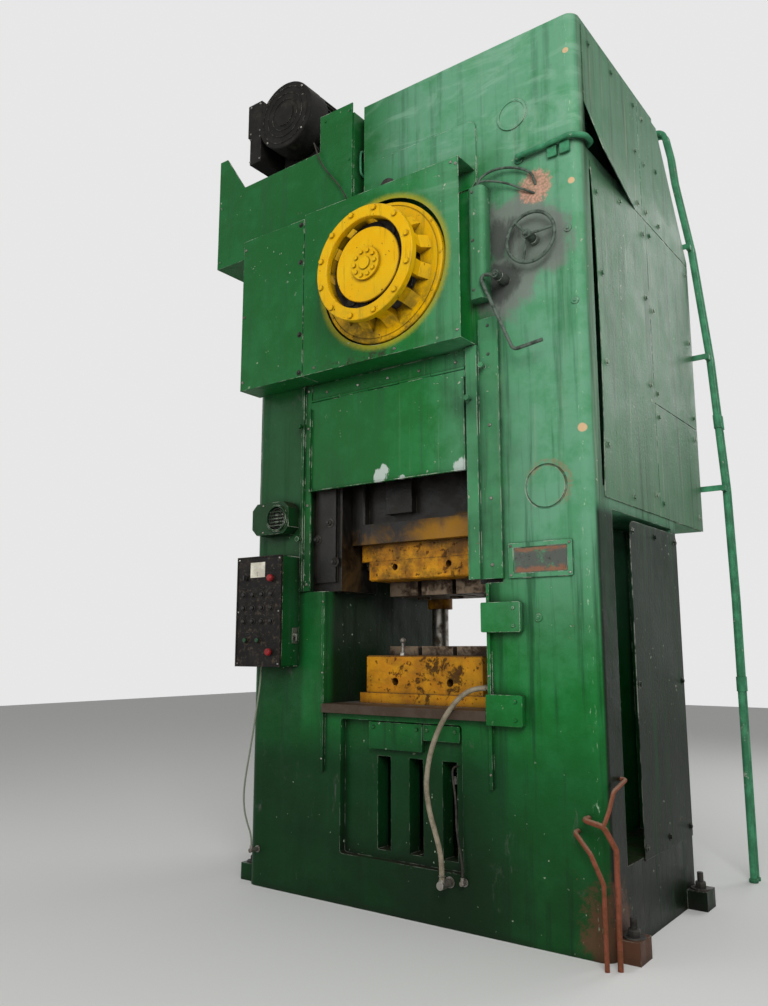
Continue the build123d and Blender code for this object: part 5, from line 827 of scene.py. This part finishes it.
def add_guard_fixings():
    """Fixings of the guard box, of the flap's hinge strip and of the strips beside the window."""
    guard = ("guard_panel_left", "guard_panel_right")
    places = pairs((-0.7,), (4.476, 4.198, 3.671, 3.4))
    fix("guard_seam_bolts", guard, level(GUARD_FRONT, places), "-y", 0.02, "dark_iron")
    places = ((-0.564, 3.407), (0.53, 4.51), (0.566, 4.49), (-1.24, 4.44), (-1.24, 3.92), (-1.24, 3.43),
              (0.56, 3.42), (0.1, 3.4))
    screws("guard_edge_screws", guard, level(GUARD_FRONT, places), 0.01)
    places = pairs((-0.62, -0.348, -0.1, 0.146, 0.42), (3.3,))
    screws("hinge_strip_screws", ("flap_hinge",), level(-0.707, places), 0.01)
    places = (level(-0.724, pairs((0.66,), (2.03, 2.42, 2.86, 3.3, 3.48))) +
              level(-0.712, pairs((-0.778,), (1.98, 2.52, 3.06, 3.33))) +
              level(-0.788, pairs((0.606,), (3.7, 4.02, 4.34))))
    screws("guard_strip_screws", ("guard_strips",), places, 0.01)


def add_frame_fixings():
    """Screws, rivets, plugs and bolts on the front of the frame."""
    screws("window_rail_screws", ("frame",), level(-0.722, pairs((-0.62, 0.62), (0.86, 1.4, 1.86))), 0.007)
    screws("name_pad_rivets", ("frame",), level(-0.712, pairs((0.772, 1.132), (1.964, 2.13))), 0.008)
    mesh = bmesh.new()
    for place in seated(("frame",), level(FRONT, ((1.191, 3.959), (1.216, 3.511), (0.93, 1.722))), "-y"):
        add_cone(mesh, place, "-y", 0.007, 0.024, 0.021, 24)
        add_cone(mesh, place, "-y", 0.012, 0.01, 0.009, 6)
    piece("front_plugs", mesh, "press_green")
    mesh = bmesh.new()
    x, z = HEADER_PLUG
    add_cone(mesh, (x, -0.708, z), "-y", 0.012, 0.06, 0.056, 36)
    add_cone(mesh, (x, -0.72, z), "-y", 0.01, 0.046, 0.034, 36)
    piece("header_plug", mesh, "dark_iron")
    places = level(-0.752, pairs((0.8,), (1.68, 1.78, 1.165, 1.265)))
    fix("hinge_block_bolts", ("hinge_blocks",), places, "-y", 0.016, "press_green", washer=False)
    places = level(-0.69, pairs((-0.225, 0.1, 0.175, 0.37), (1.075,)))
    fix("apron_bolts", ("apron_plates",), places, "-y", 0.018, "press_green", washer=False)


def add_die_space_details():
    """Adjusting bolts of the ram's guides with lock nuts, clamp bolts under the backing plate, pin on the die."""
    mesh = bmesh.new()
    places = ((-0.617, 2.392), (-0.722, 2.284), (-0.57, 2.124), (-0.65, 2.78), (-0.65, 3.12), (0.622, 2.2),
              (0.622, 2.7))
    for index, place in enumerate(seated(("ram_gibs",), level(-0.664, places), "-y")):
        add_bolt(mesh, place, "-y", 0.034, 0.018, angle=index * 0.7)
        add_cone(mesh, place, "-y", 0.034, 0.011, 0.01, 20)
    piece("gib_adjusting_bolts", mesh, "dark_iron")
    mesh = bmesh.new()
    for side in (-1, 1):
        for place in seated(("die_backing_plate",), [(side * 0.457, y, 2.13) for y in (-0.43, 0.43)], "-z"):
            add_bolt(mesh, place, "-z", 0.036, 0.026, angle=side * 0.4)
            add_cone(mesh, place, "-z", 0.052, 0.013, 0.012, 20)
    piece("die_clamp_bolts", mesh, "dark_iron", "ram_body")
    mesh = bmesh.new()
    for place in seated(("lower_die_holder",), [(-0.168, -0.45, 1.51)], "z"):
        add_cone(mesh, place, "z", 0.02, 0.022, 0.02, 24)
        add_cone(mesh, place, "z", 0.085, 0.01, 0.009, 20)
        ball = Matrix.Translation(place + Vector((0, 0, 0.096)))
        bmesh.ops.create_uvsphere(mesh, u_segments=20, v_segments=12, radius=0.019, matrix=ball)
    piece("die_pin", mesh, "machined_steel", smooth=True)


def add_head_fittings():
    """Screws of the brake, nuts of the handwheel and the lever, bent rods above them, grip in the recess."""
    places = round_places(BRAKE, -0.92, 0.452, range(0, 360, 30))
    screws("brake_rim_screws", ("brake_housing",), places, 0.008, "brake_yellow")
    fix("handwheel_nut", ("handwheel",), level(-0.812, [HANDWHEEL]), "-y", 0.03, body="handwheel_body")
    fix("lever_nut", ("valve_lever",), level(-0.812, [LEVER]), "-y", 0.026, body="lever_body")
    rod("wheel_rod_long", ((0.64, -0.77, 4.36), (0.64, -0.778, 4.405), (0.69, -0.76, 4.45),
                           (0.78, -0.74, 4.466), (0.9, -0.73, 4.43), (0.98, -0.724, 4.372),
                           (0.994, -0.718, 4.325), (0.994, -0.698, 4.3)), 0.008, "machined_steel")
    rod("wheel_rod_short", ((0.625, -0.77, 4.35), (0.628, -0.782, 4.388), (0.68, -0.77, 4.402),
                            (0.804, -0.74, 4.362), (0.9, -0.722, 4.3), (0.974, -0.712, 4.252),
                            (0.985, -0.698, 4.246)), 0.007, "machined_steel")
    route_in_recess = ((-0.583, 4.87), (-0.63, 4.87), (-0.648, 4.905), (-0.648, 5.03), (-0.63, 5.065),
                       (-0.583, 5.065))
    rod("recess_grip", [(-0.384, y, z) for y, z in route_in_recess], 0.009, "pipe_grey")


def add_motor_details():
    """Screws of the console, rings and screws of the motor's fan cover and terminal box, clamps of the hose."""
    places = ((-1.74, 4.56), (-1.74, 5.02), (-0.436, 5.36), (-0.436, 4.98), (-0.66, 5.36), (-1.3, 4.56),
              (-1.52, 5.36))
    screws("console_screws", ("motor_console",), level(-0.71, places), 0.01, "sheet_green")
    x, z = MOTOR
    rings("fan_cover_rings", (x, -0.7255, z), "-y", (0.075, 0.125, 0.175, 0.225), 0.004, "motor_grey")
    screws("fan_cover_screws", ("motor_fan_cover",), round_places(MOTOR, -0.725, 0.245, range(45, 360, 90)), 0.009)
    places = level(-0.7, pairs((-1.445, -1.345), (5.325, 5.515, 5.565, 5.795)))
    screws("terminal_box_screws", ("motor_body",), places, 0.008)
    rings("work_hose_clamp_low", (0.33, -0.786, 0.3), "z", (0.0165,), 0.0035, "machined_steel")
    rings("work_hose_clamp_high", (0.586, -0.69, 1.332), "x", (0.0165,), 0.0035, "machined_steel")


def add_panel_details():
    """Rim, lamp bezels and domes, blank strips and label of the panel, latch of its box, fittings of the horn."""
    y = PANEL_FRONT
    mesh = bmesh.new()
    for low, high in (((-1.265, 2.165), (-0.85, 2.175)), ((-1.265, 1.435), (-0.85, 1.445)),
                      ((-1.265, 1.445), (-1.255, 2.165)), ((-0.86, 1.445), (-0.85, 2.165))):
        add_slab(mesh, (low[0], y - 0.005, low[1]), (high[0], y + 0.001, high[1]), 0.0015)
    piece("panel_rim", mesh, "panel_black")
    bezels, domes, strips = bmesh.new(), bmesh.new(), bmesh.new()
    for x, z in pairs((-1.195, -1.11, -1.025, -0.94), (1.915, 1.825, 1.735)):
        add_torus(bezels, (x, y - 0.002, z), "-y", 0.0185, 0.0032, 28, 6)
        add_cone(domes, (x, y - 0.0138, z), "-y", 0.003, 0.0135, 0.011, 24)
        add_cone(domes, (x, y - 0.0168, z), "-y", 0.002, 0.011, 0.004, 24)
        add_slab(strips, (x - 0.024, y - 0.0016, z + 0.031), (x + 0.024, y + 0.0005, z + 0.046), 0.0004)
    for x, z in ((-1.165, 1.655), (-1.05, 1.655), (-0.937, 2.076), (-0.941, 1.588), (-1.175, 2.078)):
        add_slab(strips, (x - 0.028, y - 0.0016, z - 0.008), (x + 0.028, y + 0.0005, z + 0.008), 0.0004)
    piece("lamp_bezels", bezels, "dark_iron", smooth=True)
    piece("lamp_domes", domes, "switch_black")
    piece("legend_strips", strips, "motor_grey")
    mesh = bmesh.new()
    add_slab(mesh, (-1.139, y - 0.0018, 2.031), (-1.003, y + 0.0005, 2.134), 0.0006)
    label = piece("panel_label", mesh, "machined_steel")
    label.data.materials[0] = dusty_paint("label_pale", srgb(196, 192, 176), srgb(130, 120, 100), rough=0.6,
                                          chips=srgb(90, 80, 64), flakes=0.66)
    screws("panel_screws", ("control_panel",), level(y, pairs((-1.245, -0.87), (2.155, 1.8, 1.455))), 0.007)
    mesh = bmesh.new()
    for place in seated(("control_box",), [(-0.85, -0.745, 1.64)], "x"):
        add_slab(mesh, place + Vector((-0.001, -0.026, -0.052)), place + Vector((0.005, 0.026, 0.052)), 0.0015)
        add_cone(mesh, place + Vector((0.005, 0, 0.004)), "x", 0.016, 0.015, 0.012, 24)
        add_slab(mesh, place + Vector((0.012, -0.006, -0.034)), place + Vector((0.024, 0.006, 0.01)), 0.002)
    piece("box_latch", mesh, "machined_steel")
    screws("horn_screws", ("signal_box",), level(-0.81, pairs((-1.188, -0.882, -1.1), (2.347, 2.535))), 0.007)
    rings("horn_grille_rings", (-0.968, -0.813, 2.436), "-y", (0.016, 0.034, 0.052, 0.068), 0.003, "dark_iron")


def add_side_details():
    """Fixings of the covers and the drive housing, anchor studs with nuts, sleeves on the two rear pipes."""
    places = (pairs((0.235,), (4.5, 4.88, 5.22)) + [(-0.15, 5.24), (-0.52, 5.22)] +
              pairs((0.395,), (4.5, 4.86, 5.2)) + pairs((0.645,), (4.5, 4.92)) +
              [(-0.476, 2.7), (-0.44, 3.2), (-0.45, 3.75), (-0.49, 4.25)] +
              pairs((0.3,), (2.52, 3.25, 3.85, 4.3)) + pairs((-0.1,), (2.45, 4.36)) +
              pairs((0.43, 1.2), (3.22, 3.8, 4.34)) + pairs((0.43, 1.2), (2.48, 3.06)) +
              pairs((-0.16, 0.6), (0.46, 1.35, 2.24)) + pairs((0.22,), (0.46, 2.24)))
    fix("right_cover_bolts", ("right_covers_upper", "right_covers_lower", "drive_housing", "frame"),
        [(SIDE, y, z) for y, z in places], "x", 0.022, "sheet_green")
    places = pairs((-0.5, -0.05, 0.4, 0.62, 0.78, 1.2),
                   (0.46, 1.35, 2.24, 2.48, 3.06, 3.25, 3.8, 4.34, 4.5, 5.00))
    fix("left_cover_bolts", ("left_covers", "drive_housing"), [(-SIDE, y, z) for y, z in places], "-x", 0.022,
        "sheet_green")
    places = pairs((-1.2, -0.8, -0.4, 0.0, 0.4, 0.8, 1.2), (2.45, 3.06, 3.22, 4.35, 4.51, 5.24))
    fix("rear_housing_bolts", ("drive_housing",), level(1.27, places), "y", 0.026, "sheet_green")
    mesh = bmesh.new()
    for x, y in pairs((-1.34, 1.34), (-0.56, 0.56)):
        add_bolt(mesh, (x, y, 0.1095), "z", 0.062, 0.042, angle=0.3)
        add_cone(mesh, (x, y, 0.1), "z", 0.105, 0.0195, 0.018, 24)
    piece("anchor_nuts", mesh, "dark_iron")
    upper, lower = ((1.4102, 3.26), (1.4157, 3.16)), ((1.4511, 1.36), (1.4515, 1.26))
    for index, y in enumerate((1.35, 1.415)):
        for height, ends in enumerate((upper, lower)):
            rod(f"pipe_sleeve_{index}{height}", level(y, ends), 0.0285, "pipe_grey", order=2)


def add_floor(half):
    """Pale plain floor, seen near white, that keeps the object's shadow."""
    mesh = bmesh.new()
    bmesh.ops.create_grid(mesh, x_segments=2, y_segments=2, size=half)
    data = bpy.data.meshes.new("floor")
    mesh.to_mesh(data)
    mesh.free()
    data.materials.append(Shader("floor").finish(srgb(226, 226, 224), 0.9))
    floor = linked("floor", data)


# Build: the camera stands low, in front and to the right, as in the photograph

add_camera(eye=(3.091, -5.066, 1.55), turn=36.47, rise=9.67, focal=30.72, sensor=36.0)
add_world(level=0.38)
add_lamp("key", eye=(4.5, -6.5, 6.0), target=(0.2, -0.5, 2.8), power=430, size=4.0)
add_lamp("fill", eye=(-4.5, -6.0, 3.5), target=(0.0, 0.0, 2.5), power=75, size=4.0)
add_lamp("rear", eye=(2.5, 7.0, 6.5), target=(0.0, 0.5, 3.0), power=200, size=4.0)

dress_nodes()
add_cords()
add_guard_fixings()
add_frame_fixings()
add_die_space_details()
add_head_fittings()
add_motor_details()
add_panel_details()
add_side_details()
add_floor(half=20.0)

scene = bpy.context.scene
scene.view_settings.view_transform = "Standard"
